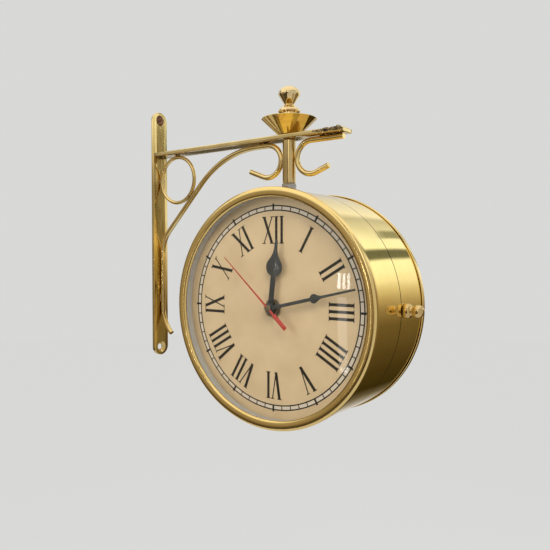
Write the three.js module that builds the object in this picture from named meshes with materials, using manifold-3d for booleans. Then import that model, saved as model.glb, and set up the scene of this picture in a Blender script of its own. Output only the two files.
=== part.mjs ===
// Double sided station clock on a brass wall bracket, in millimetres, +Z up.
// The origin is the middle of the wall plate's back face: the wall is the plane x = 0 and the
// arm points along +X. y = 0 is the middle plane of the bracket; the front dial faces -Y.
import * as THREE from 'three';
import { mergeVertices } from 'three/addons/utils/BufferGeometryUtils.js';
import Module from 'manifold-3d';

const wasm = await Module();
wasm.setup();

// Clearances between pieces
const SEAT = 0.3;
const RUN = 0.3;

// Bracket
const PLATE_LENGTH = 206;
const PLATE_WIDTH = 15.5;
const PLATE_THICKNESS = 3;
const SCREW_INSET = 6.8;
const SCREW_HOLE_RADIUS = 2.2;
const SCREW_HEAD_RADIUS = 4.2;
const SCREW_HEAD_DEPTH = 2;
const SCREW_SLOT_WIDTH = 0.9;
const SCREW_SLOT_DEPTH = 0.7;
const SCREW_SLOT_TURN = THREE.MathUtils.degToRad(35);
const ARM_DROP = 38;
const ARM_THICKNESS = 3;
const STEM_REACH = 136;
const ARM_OVERHANG = 47;
const ROD_RADIUS = 2;
const BRACE_FOOT_RISE = 41;
const BRACE_FOOT_RADIUS = 28;
const BRACE_FOOT_SWEEP = THREE.MathUtils.degToRad(50);
const BRACE_KNEE_RADIUS = 28;
const BRACE_SHOULDER_RADIUS = 80;
const CURL_RADIUS = 11.7;
const CURL_TAIL_RISE = THREE.MathUtils.degToRad(21);
const BRACE_TAIL_LENGTH = 13;
const SCROLL_TAIL_LENGTH = 11;
const RING_ROD_RADIUS = 1.5;
const RING_RADIUS = 18.7;

// Stem, cup and finial
const STEM_RADIUS = 4.75;
const STEM_WALL = 1.3;
const THREAD_RADIUS = 3;
const NUT_FLATS = 10;
const NUT_HEIGHT = 5;
const WASHER_RADIUS = 6;
const WASHER_THICKNESS = 1.2;
const THREAD_TAIL = 2;
const CUP_BASE_RADIUS = 8.2;
const CUP_RIM_RADIUS = 20;
const CUP_HEIGHT = 11.5;
const CUP_WALL = 1.2;
const FINIAL_NECK_RADIUS = 4.7;
const FINIAL_NECK_SHOW = 5;
const FINIAL_BELL_RADIUS = 7.9;
const FINIAL_LIP_HEIGHT = 0.8;
const FINIAL_BELLY_RADIUS = 6.3;
const FINIAL_BELLY_RISE = 2.7;
const FINIAL_WAIST_RADIUS = 3.6;
const FINIAL_WAIST_RISE = 5.4;
const FINIAL_BALL_RADIUS = 7.9;
const FINIAL_BALL_RISE = 12.6;
const FINIAL_DOME_HEIGHT = 6;
const FINIAL_SOCKET_DEPTH = 9;

// Drum
const STEM_SHOW = 37;
const BEZEL_OPENING_RADIUS = 77;
const BEZEL_WIDTH = 7;
const BEZEL_OVERHANG = 1;
const BEZEL_EDGE = 0.4;
const BEZEL_CREST_HEIGHT = 2.2;
const BEZEL_LIP_DEPTH = 4.8;
const BARREL_WALL = 1.2;
const DRUM_DEPTH = 78;
const STEM_FROM_SEAM = 10;
const SEAM_RING_THICKNESS = 1.6;
const SEAM_RING_INSIDE = 3.2;
const SEAM_RING_PROUD = 2.5;

// Glass and dial, on each side
const GLASS_THICKNESS = 1.8;
const GLASS_DOME = 2.4;
const LINER_SETBACK = 0.6;
const DIAL_RECESS = 10.3;
const DIAL_THICKNESS = 1;
const DIAL_RING_WIDTH = 3;
const DIAL_RING_DEPTH = 2.4;

// Quartz movement, on each side
const MOVEMENT_SIZE = 56;
const MOVEMENT_CORNER = 5;
const MOVEMENT_DEPTH = 16.6;
const MOVEMENT_WALL = 1.4;
const BATTERY_RADIUS = 7.1;
const BATTERY_LENGTH = 49;
const BATTERY_NUB_RADIUS = 2.6;
const BATTERY_NUB_LENGTH = 1.4;
const BUSH_RADIUS = 3.9;
const BUSH_PROUD = 2.9;
const BUSH_NUT_FLATS = 11;
const BUSH_NUT_HEIGHT = 1.6;
const BUSH_WASHER_THICKNESS = 0.5;
const BUSH_WASHER_RADIUS = 6.6;
const HOUR_TUBE_RADIUS = 2.5;
const MINUTE_TUBE_RADIUS = 1.6;
const SECOND_ARBOR_RADIUS = 0.6;
const HOUR_WHEEL_RADIUS = 9.6;
const MINUTE_WHEEL_RADIUS = 8.5;
const SECOND_WHEEL_RADIUS = 9;
const WHEEL_THICKNESS = 1.4;
const WHEEL_SPACING = 3.2;
const HOUR_LEVEL = 1;
const MINUTE_LEVEL = 2;
const SECOND_LEVEL = 3;
const SET_KNOB_RADIUS = 6.5;
const SET_KNOB_HEIGHT = 3;
const SET_SHAFT_RADIUS = 1.6;

// Hands: they show twelve minutes past twelve
const SHOWN_HOUR = 12;
const SHOWN_MINUTE = 12;
const SHOWN_SECOND = 52;
const HAND_THICKNESS = 0.5;
const HOUR_HAND_HEIGHT = 3.4;
const MINUTE_HAND_HEIGHT = 4.8;
const SECOND_HAND_HEIGHT = 6.2;
const HOUR_HAND_LENGTH = 48;
const HOUR_HUB_RADIUS = 4.2;
const HOUR_SPADE_RADIUS = 6.7;
const HOUR_SPADE_REACH = 29;
const HOUR_STALK_WIDTH = 4.4;
const HOUR_TIP_WIDTH = 2.4;
const MINUTE_HAND_LENGTH = 69;
const MINUTE_HUB_RADIUS = 3.6;
const MINUTE_SPADE_RADIUS = 3.2;
const MINUTE_SPADE_REACH = 37.5;
const MINUTE_STALK_WIDTH = 2.6;
const MINUTE_TIP_WIDTH = 1.4;
const SECOND_HAND_LENGTH = 53;
const SECOND_HUB_RADIUS = 2.3;
const SECOND_NEEDLE_WIDTH = 0.8;
const SECOND_TAIL_START = 7;
const SECOND_TAIL_LENGTH = 20;
const SECOND_TAIL_WIDTH = 3.2;
const SECOND_SOCKET_GAP = 0.1;

// Hinge on the wall side and pull knob on the far side, both at the seam
const HINGE_HEIGHT = 24;
const HINGE_KNUCKLE_RADIUS = 2.6;
const HINGE_PIN_RADIUS = 1.2;
const HINGE_LEAF_THICKNESS = 1;
const HINGE_LEAF_LENGTH = 10;
const PIN_HEAD_RADIUS = 2.1;
const PIN_HEAD_HEIGHT = 1;
const PIN_TAIL = 1;
const KNOB_SEAT_RADIUS = 4.4;
const KNOB_FOOT_RADIUS = 4.9;
const KNOB_FOOT_FLARE = 1.5;
const KNOB_FOOT_LENGTH = 4.6;
const KNOB_FOOT_SHOULDER = 0.9;
const KNOB_GROOVE_RADIUS = 3.2;
const KNOB_BALL_RADIUS = 4.3;
const KNOB_LENGTH = 13.3;
const KNOB_SCREW_RADIUS = 1.25;
const KNOB_SCREW_HEAD_RADIUS = 2.4;
const KNOB_SCREW_HEAD_HEIGHT = 1.6;
const KNOB_SCREW_CROWN_RADIUS = 1.9;
const KNOB_SCREW_CROWN_HEIGHT = 0.5;
const KNOB_SCREW_GRIP = 4;

// Facets
const RIM_SIDES = 56;
const TURNED_SIDES = 24;
const SMALL_SIDES = 16;
const ROD_SIDES = 8;
const CUP_SIDES = 40;
const RING_SIDES = 36;
const BRACE_STEPS = 64;
const SCROLL_STEPS = 32;
const ARC_STEPS = 6;
const ROUND_END_STEPS = 8;
const CORNER_STEPS = 4;
const GLASS_RINGS = 3;

// How far a cutting body runs past the face it opens, and how near two vertices count as one
const THROUGH = 1;
const MERGE_DISTANCE = 1e-4;

// Places that follow from the sizes
const plateTop = PLATE_LENGTH / 2;
const armUnderside = plateTop - ARM_DROP;
const armTop = armUnderside + ARM_THICKNESS;
const armTip = STEM_REACH + ARM_OVERHANG;
const bezelRadius = BEZEL_OPENING_RADIUS + BEZEL_WIDTH;
const barrelRadius = bezelRadius - BEZEL_OVERHANG;
const barrelInside = barrelRadius - BARREL_WALL;
const barrelTop = armUnderside - STEM_SHOW;
const drumZ = barrelTop - barrelRadius;
const seamY = STEM_FROM_SEAM;
const frontY = seamY - DRUM_DEPTH / 2;
const backY = seamY + DRUM_DEPTH / 2;
const fitRadius = barrelInside - SEAT;
const glassFront = BEZEL_CREST_HEIGHT + SEAT;
const glassBack = glassFront + GLASS_THICKNESS;
const dialBack = DIAL_RECESS + DIAL_THICKNESS;
const movementFront = dialBack + SEAT;
const movementBack = movementFront + MOVEMENT_DEPTH;
const threadHole = THREAD_RADIUS + RUN;
const rodLine = ROD_RADIUS + SEAT;
const ringOutside = RING_RADIUS + RING_ROD_RADIUS + SEAT;
const ringX = PLATE_THICKNESS + ringOutside;
const ringZ = armUnderside - ringOutside;
const knobY = seamY + SEAM_RING_PROUD + SEAT + KNOB_SCREW_HEAD_RADIUS;

// Finishes
const POLISHED_BRASS = { color: 0xc9a24a, roughness: 0.18, metalness: 1 };
const DARK_IRON = { color: 0x4b3b33, roughness: 0.55, metalness: 0.8 };
const BRIGHT_STEEL = { color: 0xa7a39a, roughness: 0.35, metalness: 1 };
const CLEAR_GLASS = { color: 0xf2f5f4, roughness: 0.04, metalness: 0, transparent: true, opacity: 0.25 };
const GREY_LINER = { color: 0x8e8a80, roughness: 0.45, metalness: 0.3 };
const CREAM_DIAL = { color: 0xd9bd8f, roughness: 0.7, metalness: 0 };
const BLACK_PLASTIC = { color: 0x1c1c1d, roughness: 0.5, metalness: 0 };
const GREY_PLASTIC = { color: 0xb9b9b4, roughness: 0.5, metalness: 0 };
const WHITE_PLASTIC = { color: 0xe6e4dd, roughness: 0.45, metalness: 0 };
const BLACK_LACQUER = { color: 0x17181a, roughness: 0.4, metalness: 0.2 };
const RED_LACQUER = { color: 0xb0241c, roughness: 0.4, metalness: 0.1 };
const CELL_SLEEVE = { color: 0x5a6f86, roughness: 0.35, metalness: 0.5 };

// A closed geometry with its shared vertices merged and its zero-area triangles dropped.
function closed(geometry) {
  const bare = geometry.clone();
  bare.deleteAttribute('normal');
  bare.deleteAttribute('uv');
  const merged = mergeVertices(bare, MERGE_DISTANCE);
  const index = merged.getIndex().array;
  const kept = [];
  for (let i = 0; i < index.length; i += 3) {
    const [a, b, c] = [index[i], index[i + 1], index[i + 2]];
    if (a !== b && b !== c && c !== a) kept.push(a, b, c);
  }
  merged.setIndex(kept);
  return merged;
}

function toSolid(geometry) {
  const merged = closed(geometry);
  return new wasm.Manifold(new wasm.Mesh({
    numProp: 3,
    vertProperties: new Float32Array(merged.getAttribute('position').array),
    triVerts: new Uint32Array(merged.getIndex().array),
  }));
}

function toGeometry(solid) {
  const mesh = solid.getMesh();
  const geometry = new THREE.BufferGeometry();
  geometry.setAttribute('position', new THREE.BufferAttribute(new Float32Array(mesh.vertProperties), 3));
  geometry.setIndex(new THREE.BufferAttribute(new Uint32Array(mesh.triVerts), 1));
  return geometry;
}

// The first geometry with every other one cut out of it.
function cut(body, ...tools) {
  let solid = toSolid(body);
  for (const tool of tools) solid = solid.subtract(toSolid(tool));
  return toGeometry(solid);
}

function join(...pieces) {
  let solid = toSolid(pieces[0]);
  for (const piece of pieces.slice(1)) solid = solid.add(toSolid(piece));
  return toGeometry(solid);
}

// A body turned about +Y. The outline is a list of [radius, y] and closes on itself or on the axis.
function turnedY(outline, sides) {
  const points = outline.map(([radius, y]) => new THREE.Vector2(radius, y));
  if (THREE.ShapeUtils.area(points) < 0) points.reverse();
  const onAxis = points.filter((point) => point.x === 0).length === 2;
  if (onAxis) {
    while (points[0].x !== 0 || points[points.length - 1].x !== 0) points.push(points.shift());
  } else {
    points.push(points[0].clone());
  }
  return closed(new THREE.LatheGeometry(points, sides));
}

// The same about +Z, with the outline a list of [radius, z].
function turnedZ(outline, sides) {
  return turnedY(outline, sides).rotateX(Math.PI / 2);
}

// The same about +X, with the outline a list of [radius, x].
function turnedX(outline, sides) {
  return turnedY(outline, sides).rotateZ(-Math.PI / 2);
}

function disc(radius, low, high) {
  return [[0, low], [radius, low], [radius, high], [0, high]];
}

function tube(inner, outer, low, high) {
  return [[inner, low], [outer, low], [outer, high], [inner, high]];
}

function block(lowX, highX, lowY, highY, lowZ, highZ) {
  const geometry = new THREE.BoxGeometry(highX - lowX, highY - lowY, highZ - lowZ);
  return geometry.translate((lowX + highX) / 2, (lowY + highY) / 2, (lowZ + highZ) / 2);
}

// A flat shape drawn in x and z, with its faces at lowY and highY.
function flat(shape, lowY, highY, curveSegments = ARC_STEPS) {
  const geometry = new THREE.ExtrudeGeometry(shape, {
    depth: highY - lowY,
    bevelEnabled: false,
    curveSegments,
  });
  return geometry.rotateX(Math.PI / 2).translate(0, highY, 0);
}

function hexagon(acrossFlats) {
  const corner = acrossFlats / Math.sqrt(3);
  const shape = new THREE.Shape();
  for (let side = 0; side < 6; side += 1) {
    const turn = (side * Math.PI) / 3;
    const [x, y] = [corner * Math.cos(turn), corner * Math.sin(turn)];
    if (side === 0) shape.moveTo(x, y);
    else shape.lineTo(x, y);
  }
  shape.closePath();
  return shape;
}

// A round rod along a path drawn in x and z.
function rod(path, radius, steps) {
  const section = new THREE.Shape();
  for (let side = 0; side < ROD_SIDES; side += 1) {
    const turn = (side * 2 * Math.PI) / ROD_SIDES;
    const [x, y] = [radius * Math.cos(turn), radius * Math.sin(turn)];
    if (side === 0) section.moveTo(x, y);
    else section.lineTo(x, y);
  }
  section.closePath();
  const route = new THREE.CatmullRomCurve3(
    path.getSpacedPoints(steps).map((point) => new THREE.Vector3(point.x, 0, point.y)),
  );
  return new THREE.ExtrudeGeometry(section, { steps, bevelEnabled: false, extrudePath: route });
}

function piece(name, geometry, finish) {
  const mesh = new THREE.Mesh(geometry, new THREE.MeshStandardMaterial(finish));
  mesh.name = name;
  return mesh;
}

// Wall plate: a flat bar with round ends and a countersunk hole near each end.
function wallPlate() {
  const half = PLATE_WIDTH / 2;
  const straight = plateTop - half;
  const outline = new THREE.Shape();
  outline.absarc(0, straight, half, 0, Math.PI, false);
  outline.absarc(0, -straight, half, Math.PI, 2 * Math.PI, false);
  outline.closePath();
  const bar = flat(outline, 0, PLATE_THICKNESS, ROUND_END_STEPS).rotateZ(-Math.PI / 2);
  const holes = [1, -1].map((end) => countersink(SEAT).translate(0, 0, end * (plateTop - SCREW_INSET)));
  return piece('wall_plate', cut(bar, ...holes), POLISHED_BRASS);
}

// The space of a countersunk screw head and its shank, grown by a clearance.
function countersink(clearance) {
  const coneBottom = PLATE_THICKNESS - SCREW_HEAD_DEPTH;
  return turnedX([
    [0, -THROUGH],
    [SCREW_HOLE_RADIUS + clearance, -THROUGH],
    [SCREW_HOLE_RADIUS + clearance, coneBottom],
    [SCREW_HEAD_RADIUS + clearance, PLATE_THICKNESS],
    [SCREW_HEAD_RADIUS + clearance, PLATE_THICKNESS + THROUGH],
    [0, PLATE_THICKNESS + THROUGH],
  ], SMALL_SIDES);
}

// The one screw that is fitted: it ends at the wall plane, so the plate's back stays flat.
function wallScrew() {
  const coneBottom = PLATE_THICKNESS - SCREW_HEAD_DEPTH;
  const body = turnedX([
    [0, SEAT],
    [SCREW_HOLE_RADIUS, SEAT],
    [SCREW_HOLE_RADIUS, coneBottom],
    [SCREW_HEAD_RADIUS, PLATE_THICKNESS],
    [0, PLATE_THICKNESS],
  ], SMALL_SIDES);
  const floor = PLATE_THICKNESS - SCREW_SLOT_DEPTH;
  const reach = 2 * SCREW_HEAD_RADIUS;
  const halfSlot = SCREW_SLOT_WIDTH / 2;
  const slot = block(floor, PLATE_THICKNESS + THROUGH, -reach, reach, -halfSlot, halfSlot);
  const screw = piece('wall_screw', cut(body, slot.rotateX(SCREW_SLOT_TURN)), DARK_IRON);
  screw.position.z = plateTop - SCREW_INSET;
  return screw;
}

// Arm: a flat bar on edge to the plate, drilled for the stem's threaded rod.
function arm() {
  const half = PLATE_WIDTH / 2;
  const bar = block(PLATE_THICKNESS + SEAT, armTip, -half, half, armUnderside, armTop);
  const hole = turnedZ(disc(threadHole, armUnderside - THROUGH, armTop + THROUGH), SMALL_SIDES);
  return piece('arm_bar', cut(bar, hole.translate(STEM_REACH, 0, 0)), POLISHED_BRASS);
}

// Brace: foot curl, upright along the plate, knee, slope, shoulder, run under the arm, curl at the stem.
function brace() {
  const upright = PLATE_THICKNESS + rodLine;
  const run = armUnderside - rodLine;
  const footZ = -plateTop + BRACE_FOOT_RISE;
  const slopeFromRing = (ringOutside + ROD_RADIUS) * Math.SQRT2;
  const kneeZ = upright + ringZ - ringX - slopeFromRing;
  const shoulderX = upright + (run - kneeZ);
  const bend = Math.tan(Math.PI / 8);
  const slope = Math.SQRT1_2;
  const curlX = STEM_REACH - STEM_RADIUS - rodLine - CURL_RADIUS;
  const curlZ = run - CURL_RADIUS;

  const path = new THREE.CurvePath();
  const footStart = Math.PI + BRACE_FOOT_SWEEP;
  path.add(new THREE.EllipseCurve(
    upright + BRACE_FOOT_RADIUS, footZ, BRACE_FOOT_RADIUS, BRACE_FOOT_RADIUS, footStart, Math.PI, true,
  ));
  const kneeStart = new THREE.Vector2(upright, kneeZ - BRACE_KNEE_RADIUS * bend);
  path.add(new THREE.LineCurve(new THREE.Vector2(upright, footZ), kneeStart));
  path.add(new THREE.EllipseCurve(
    upright + BRACE_KNEE_RADIUS, kneeStart.y, BRACE_KNEE_RADIUS, BRACE_KNEE_RADIUS,
    Math.PI, (3 * Math.PI) / 4, true,
  ));
  const kneeReach = BRACE_KNEE_RADIUS * bend * slope;
  const shoulderReach = BRACE_SHOULDER_RADIUS * bend;
  path.add(new THREE.LineCurve(
    new THREE.Vector2(upright + kneeReach, kneeZ + kneeReach),
    new THREE.Vector2(shoulderX - shoulderReach * slope, run - shoulderReach * slope),
  ));
  path.add(new THREE.EllipseCurve(
    shoulderX + shoulderReach, run - BRACE_SHOULDER_RADIUS, BRACE_SHOULDER_RADIUS, BRACE_SHOULDER_RADIUS,
    (3 * Math.PI) / 4, Math.PI / 2, true,
  ));
  path.add(new THREE.LineCurve(
    new THREE.Vector2(shoulderX + shoulderReach, run), new THREE.Vector2(curlX, run),
  ));
  const curlEnd = -Math.PI / 2 - CURL_TAIL_RISE;
  path.add(new THREE.EllipseCurve(curlX, curlZ, CURL_RADIUS, CURL_RADIUS, Math.PI / 2, curlEnd, true));
  const tail = path.getPoint(1);
  path.add(new THREE.LineCurve(tail, new THREE.Vector2(
    tail.x - BRACE_TAIL_LENGTH * Math.cos(CURL_TAIL_RISE),
    tail.y + BRACE_TAIL_LENGTH * Math.sin(CURL_TAIL_RISE),
  )));
  return piece('brace_rod', rod(path, ROD_RADIUS, BRACE_STEPS), POLISHED_BRASS);
}

// End scroll: from the arm's tip back under the arm, down past the stem and out again.
function endScroll() {
  const run = armUnderside - rodLine;
  const curlX = STEM_REACH + STEM_RADIUS + rodLine + CURL_RADIUS;
  const curlZ = run - CURL_RADIUS;
  const path = new THREE.CurvePath();
  path.add(new THREE.LineCurve(new THREE.Vector2(armTip - ROD_RADIUS, run), new THREE.Vector2(curlX, run)));
  const curlEnd = (3 * Math.PI) / 2 + CURL_TAIL_RISE;
  path.add(new THREE.EllipseCurve(curlX, curlZ, CURL_RADIUS, CURL_RADIUS, Math.PI / 2, curlEnd, false));
  const tail = path.getPoint(1);
  path.add(new THREE.LineCurve(tail, new THREE.Vector2(
    tail.x + SCROLL_TAIL_LENGTH * Math.cos(CURL_TAIL_RISE),
    tail.y + SCROLL_TAIL_LENGTH * Math.sin(CURL_TAIL_RISE),
  )));
  return piece('end_scroll', rod(path, ROD_RADIUS, SCROLL_STEPS), POLISHED_BRASS);
}

// Ring in the corner of plate, arm and brace.
function cornerRing() {
  const section = [];
  for (let side = 0; side < ROD_SIDES; side += 1) {
    const turn = (side * 2 * Math.PI) / ROD_SIDES;
    section.push([RING_RADIUS + RING_ROD_RADIUS * Math.cos(turn), RING_ROD_RADIUS * Math.sin(turn)]);
  }
  const ring = piece('corner_ring', turnedY(section, RING_SIDES), POLISHED_BRASS);
  ring.position.set(ringX, 0, ringZ);
  return ring;
}

// Stem: a tube between the nut on the drum and the arm, with a threaded rod right through.
function stem() {
  const group = new THREE.Group();
  group.position.x = STEM_REACH;
  const nutLow = barrelTop + SEAT;
  const nutHigh = nutLow + NUT_HEIGHT;
  const tubeLow = nutHigh + SEAT;
  const tubeHigh = armUnderside - SEAT;
  const stemWall = tube(STEM_RADIUS - STEM_WALL, STEM_RADIUS, tubeLow, tubeHigh);
  group.add(piece('stem_tube', turnedZ(stemWall, TURNED_SIDES), POLISHED_BRASS));
  group.add(piece('stem_nut', hexNut(NUT_FLATS, threadHole, nutLow, nutHigh), BRIGHT_STEEL));

  const insideTop = drumZ + Math.sqrt(barrelInside ** 2 - WASHER_RADIUS ** 2);
  const washerHigh = insideTop - SEAT;
  const washerLow = washerHigh - WASHER_THICKNESS;
  const washer = tube(threadHole, WASHER_RADIUS, washerLow, washerHigh);
  group.add(piece('inner_washer', turnedZ(washer, SMALL_SIDES), BRIGHT_STEEL));
  const innerHigh = washerLow - SEAT;
  const innerLow = innerHigh - NUT_HEIGHT;
  group.add(piece('inner_nut', hexNut(NUT_FLATS, threadHole, innerLow, innerHigh), BRIGHT_STEEL));

  const cupLow = armTop + SEAT;
  const neckTop = cupLow + CUP_HEIGHT + FINIAL_NECK_SHOW;
  const threadTop = neckTop + FINIAL_SOCKET_DEPTH - RUN;
  const threads = disc(THREAD_RADIUS, innerLow - THREAD_TAIL, threadTop);
  group.add(piece('threaded_rod', turnedZ(threads, SMALL_SIDES), BRIGHT_STEEL));
  group.add(cup(cupLow));
  group.add(finial(cupLow + CUP_WALL + SEAT, neckTop));
  return group;
}

function hexNut(acrossFlats, bore, low, high) {
  const depth = high - low;
  const body = new THREE.ExtrudeGeometry(hexagon(acrossFlats), { depth, bevelEnabled: false });
  const hole = turnedZ(disc(bore, low - THROUGH, high + THROUGH), SMALL_SIDES);
  return cut(body.translate(0, 0, low), hole);
}

// Cup: a spun cone, open at the top, standing on the arm.
function cup(low) {
  const rim = low + CUP_HEIGHT;
  const body = turnedZ([
    [threadHole, low],
    [CUP_BASE_RADIUS, low],
    [CUP_RIM_RADIUS, rim],
    [CUP_RIM_RADIUS - CUP_WALL, rim],
    [CUP_BASE_RADIUS - CUP_WALL / 2, low + CUP_WALL],
    [threadHole, low + CUP_WALL],
  ], CUP_SIDES);
  return piece('cone_cup', body, POLISHED_BRASS);
}

// Finial: a turned knob with a long neck that stands in the cup and screws onto the threaded rod.
function finial(low, neckTop) {
  const waist = neckTop + FINIAL_WAIST_RISE;
  const ball = neckTop + FINIAL_BALL_RISE;
  const dome = [];
  for (let step = 1; step < ARC_STEPS; step += 1) {
    const turn = (step * Math.PI) / 2 / ARC_STEPS;
    dome.push([FINIAL_BALL_RADIUS * Math.cos(turn), ball + FINIAL_DOME_HEIGHT * Math.sin(turn)]);
  }
  const body = turnedZ([
    [0, low],
    [FINIAL_NECK_RADIUS, low],
    [FINIAL_NECK_RADIUS, neckTop],
    [FINIAL_BELL_RADIUS, neckTop],
    [FINIAL_BELL_RADIUS, neckTop + FINIAL_LIP_HEIGHT],
    [FINIAL_BELLY_RADIUS, neckTop + FINIAL_BELLY_RISE],
    [FINIAL_WAIST_RADIUS, waist],
    [FINIAL_BALL_RADIUS, ball],
    ...dome,
    [0, ball + FINIAL_DOME_HEIGHT],
  ], TURNED_SIDES);
  const socketTop = neckTop + FINIAL_SOCKET_DEPTH;
  const socket = turnedZ(disc(THREAD_RADIUS + RUN / 2, low - THROUGH, socketTop), SMALL_SIDES);
  return piece('finial', cut(body, socket), POLISHED_BRASS);
}

// Barrel halves: two short brass tubes that meet at the seam.
function frontCase() {
  const low = frontY + glassFront;
  const body = turnedY(tube(barrelInside, barrelRadius, low, seamY - SEAT / 2), RIM_SIDES);
  const hole = turnedZ(disc(threadHole, 0, barrelRadius + THROUGH), SMALL_SIDES);
  const shell = piece('front_case', cut(body, hole), POLISHED_BRASS);
  shell.position.set(STEM_REACH, 0, drumZ);
  return shell;
}

function rearCase() {
  const high = backY - glassFront;
  const body = turnedY(tube(barrelInside, barrelRadius, seamY + SEAT / 2, high), RIM_SIDES);
  const hole = turnedX(disc(KNOB_SCREW_RADIUS + RUN, 0, barrelRadius + THROUGH), SMALL_SIDES);
  const shell = piece('rear_case', cut(body, hole.translate(0, knobY, 0)), POLISHED_BRASS);
  shell.position.set(STEM_REACH, 0, drumZ);
  return shell;
}

// Seam ring: brazed inside the front half, it guides and grips the rear half as it closes.
function seamRing() {
  const body = turnedY(tube(
    fitRadius - SEAM_RING_THICKNESS, fitRadius, seamY - SEAM_RING_INSIDE, seamY + SEAM_RING_PROUD,
  ), RIM_SIDES);
  const ring = piece('seam_ring', body, POLISHED_BRASS);
  ring.position.set(STEM_REACH, 0, drumZ);
  return ring;
}

// Pull knob on the rear half, held by a screw from inside.
function pullKnob() {
  const group = new THREE.Group();
  group.position.set(STEM_REACH, knobY, drumZ);
  const foot = barrelRadius + SEAT;
  const groove = foot + KNOB_FOOT_LENGTH;
  const ballX = foot + KNOB_LENGTH - KNOB_BALL_RADIUS;
  const ball = [];
  const meeting = Math.asin(KNOB_GROOVE_RADIUS / KNOB_BALL_RADIUS);
  for (let step = 0; step < ARC_STEPS; step += 1) {
    const turn = meeting + ((Math.PI - meeting) * step) / ARC_STEPS;
    ball.push([KNOB_BALL_RADIUS * Math.sin(turn), ballX - KNOB_BALL_RADIUS * Math.cos(turn)]);
  }
  const body = turnedX([
    [0, foot],
    [KNOB_SEAT_RADIUS, foot],
    [KNOB_FOOT_RADIUS, foot + KNOB_FOOT_FLARE],
    [KNOB_FOOT_RADIUS, groove - KNOB_FOOT_SHOULDER],
    [KNOB_GROOVE_RADIUS, groove],
    ...ball,
    [0, foot + KNOB_LENGTH],
  ], SMALL_SIDES);
  const socketEnd = foot + KNOB_SCREW_GRIP + SEAT;
  const socket = turnedX(disc(KNOB_SCREW_RADIUS + RUN, foot - THROUGH, socketEnd), SMALL_SIDES);
  group.add(piece('pull_knob', cut(body, socket), POLISHED_BRASS));
  const headHigh = barrelInside - SEAT;
  const headLow = headHigh - KNOB_SCREW_HEAD_HEIGHT;
  const screw = turnedX([
    [0, headLow],
    [KNOB_SCREW_CROWN_RADIUS, headLow],
    [KNOB_SCREW_HEAD_RADIUS, headLow + KNOB_SCREW_CROWN_HEIGHT],
    [KNOB_SCREW_HEAD_RADIUS, headHigh],
    [KNOB_SCREW_RADIUS, headHigh],
    [KNOB_SCREW_RADIUS, foot + KNOB_SCREW_GRIP],
    [0, foot + KNOB_SCREW_GRIP],
  ], SMALL_SIDES);
  group.add(piece('knob_screw', screw, BRIGHT_STEEL));
  return group;
}

// Hinge: two leaves curved to the barrel, with three knuckles on a pin along +Z.
function hinge() {
  const group = new THREE.Group();
  group.position.set(STEM_REACH, seamY, drumZ);
  const axisX = -(barrelRadius + SEAT + HINGE_KNUCKLE_RADIUS);
  const knuckle = HINGE_HEIGHT / 3;
  const middle = [-knuckle / 2, knuckle / 2];
  const lower = [-HINGE_HEIGHT / 2, middle[0] - SEAT];
  const upper = [middle[1] + SEAT, HINGE_HEIGHT / 2];
  group.add(piece('hinge_leaf_front', hingeLeaf(-1, axisX, [lower, upper], [middle]), POLISHED_BRASS));
  group.add(piece('hinge_leaf_rear', hingeLeaf(1, axisX, [middle], [lower, upper]), POLISHED_BRASS));
  const top = HINGE_HEIGHT / 2 + SEAT;
  const bottom = -HINGE_HEIGHT / 2 - PIN_TAIL;
  const pin = turnedZ([
    [0, bottom],
    [HINGE_PIN_RADIUS, bottom],
    [HINGE_PIN_RADIUS, top],
    [PIN_HEAD_RADIUS, top],
    [PIN_HEAD_RADIUS, top + PIN_HEAD_HEIGHT],
    [0, top + PIN_HEAD_HEIGHT],
  ], SMALL_SIDES);
  group.add(piece('hinge_pin', pin.translate(axisX, 0, 0), BRIGHT_STEEL));
  return group;
}

function hingeLeaf(side, axisX, own, foreign) {
  const inner = barrelRadius + SEAT;
  const near = side * SEAT;
  const far = side * (SEAT + HINGE_LEAF_LENGTH);
  const ring = tube(inner, inner + HINGE_LEAF_THICKNESS, Math.min(near, far), Math.max(near, far));
  const reach = 2 * HINGE_LEAF_LENGTH;
  const window = block(-2 * inner, 0, -reach, reach, -HINGE_HEIGHT / 2, HINGE_HEIGHT / 2);
  let leaf = toSolid(turnedY(ring, RIM_SIDES)).intersect(toSolid(window));
  const around = (radius, [low, high]) => {
    const barrel = turnedZ(disc(radius, low, high), SMALL_SIDES);
    return toSolid(barrel.translate(axisX, 0, 0));
  };
  for (const [low, high] of foreign) {
    leaf = leaf.subtract(around(HINGE_KNUCKLE_RADIUS + SEAT, [low - SEAT, high + SEAT]));
  }
  for (const span of own) leaf = leaf.add(around(HINGE_KNUCKLE_RADIUS, span));
  leaf = leaf.subtract(around(HINGE_PIN_RADIUS + RUN, [-HINGE_HEIGHT, HINGE_HEIGHT]));
  return toGeometry(leaf);
}

// Bezel: a spun ring with a rounded face, pushed over the barrel's edge.
function bezel(side) {
  const crest = (BEZEL_OPENING_RADIUS + bezelRadius) / 2;
  const face = [];
  const rise = BEZEL_CREST_HEIGHT - BEZEL_EDGE;
  for (let step = 0; step <= ARC_STEPS; step += 1) {
    const turn = (step * Math.PI) / ARC_STEPS;
    face.push([crest - (crest - BEZEL_OPENING_RADIUS) * Math.cos(turn), rise * (1 - Math.sin(turn))]);
  }
  const lip = barrelRadius + SEAT;
  const body = turnedY([
    [BEZEL_OPENING_RADIUS, BEZEL_CREST_HEIGHT],
    ...face,
    [bezelRadius, BEZEL_LIP_DEPTH],
    [lip, BEZEL_LIP_DEPTH],
    [lip, BEZEL_CREST_HEIGHT],
  ], RIM_SIDES);
  return piece(`${side}_bezel`, body, POLISHED_BRASS);
}

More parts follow.
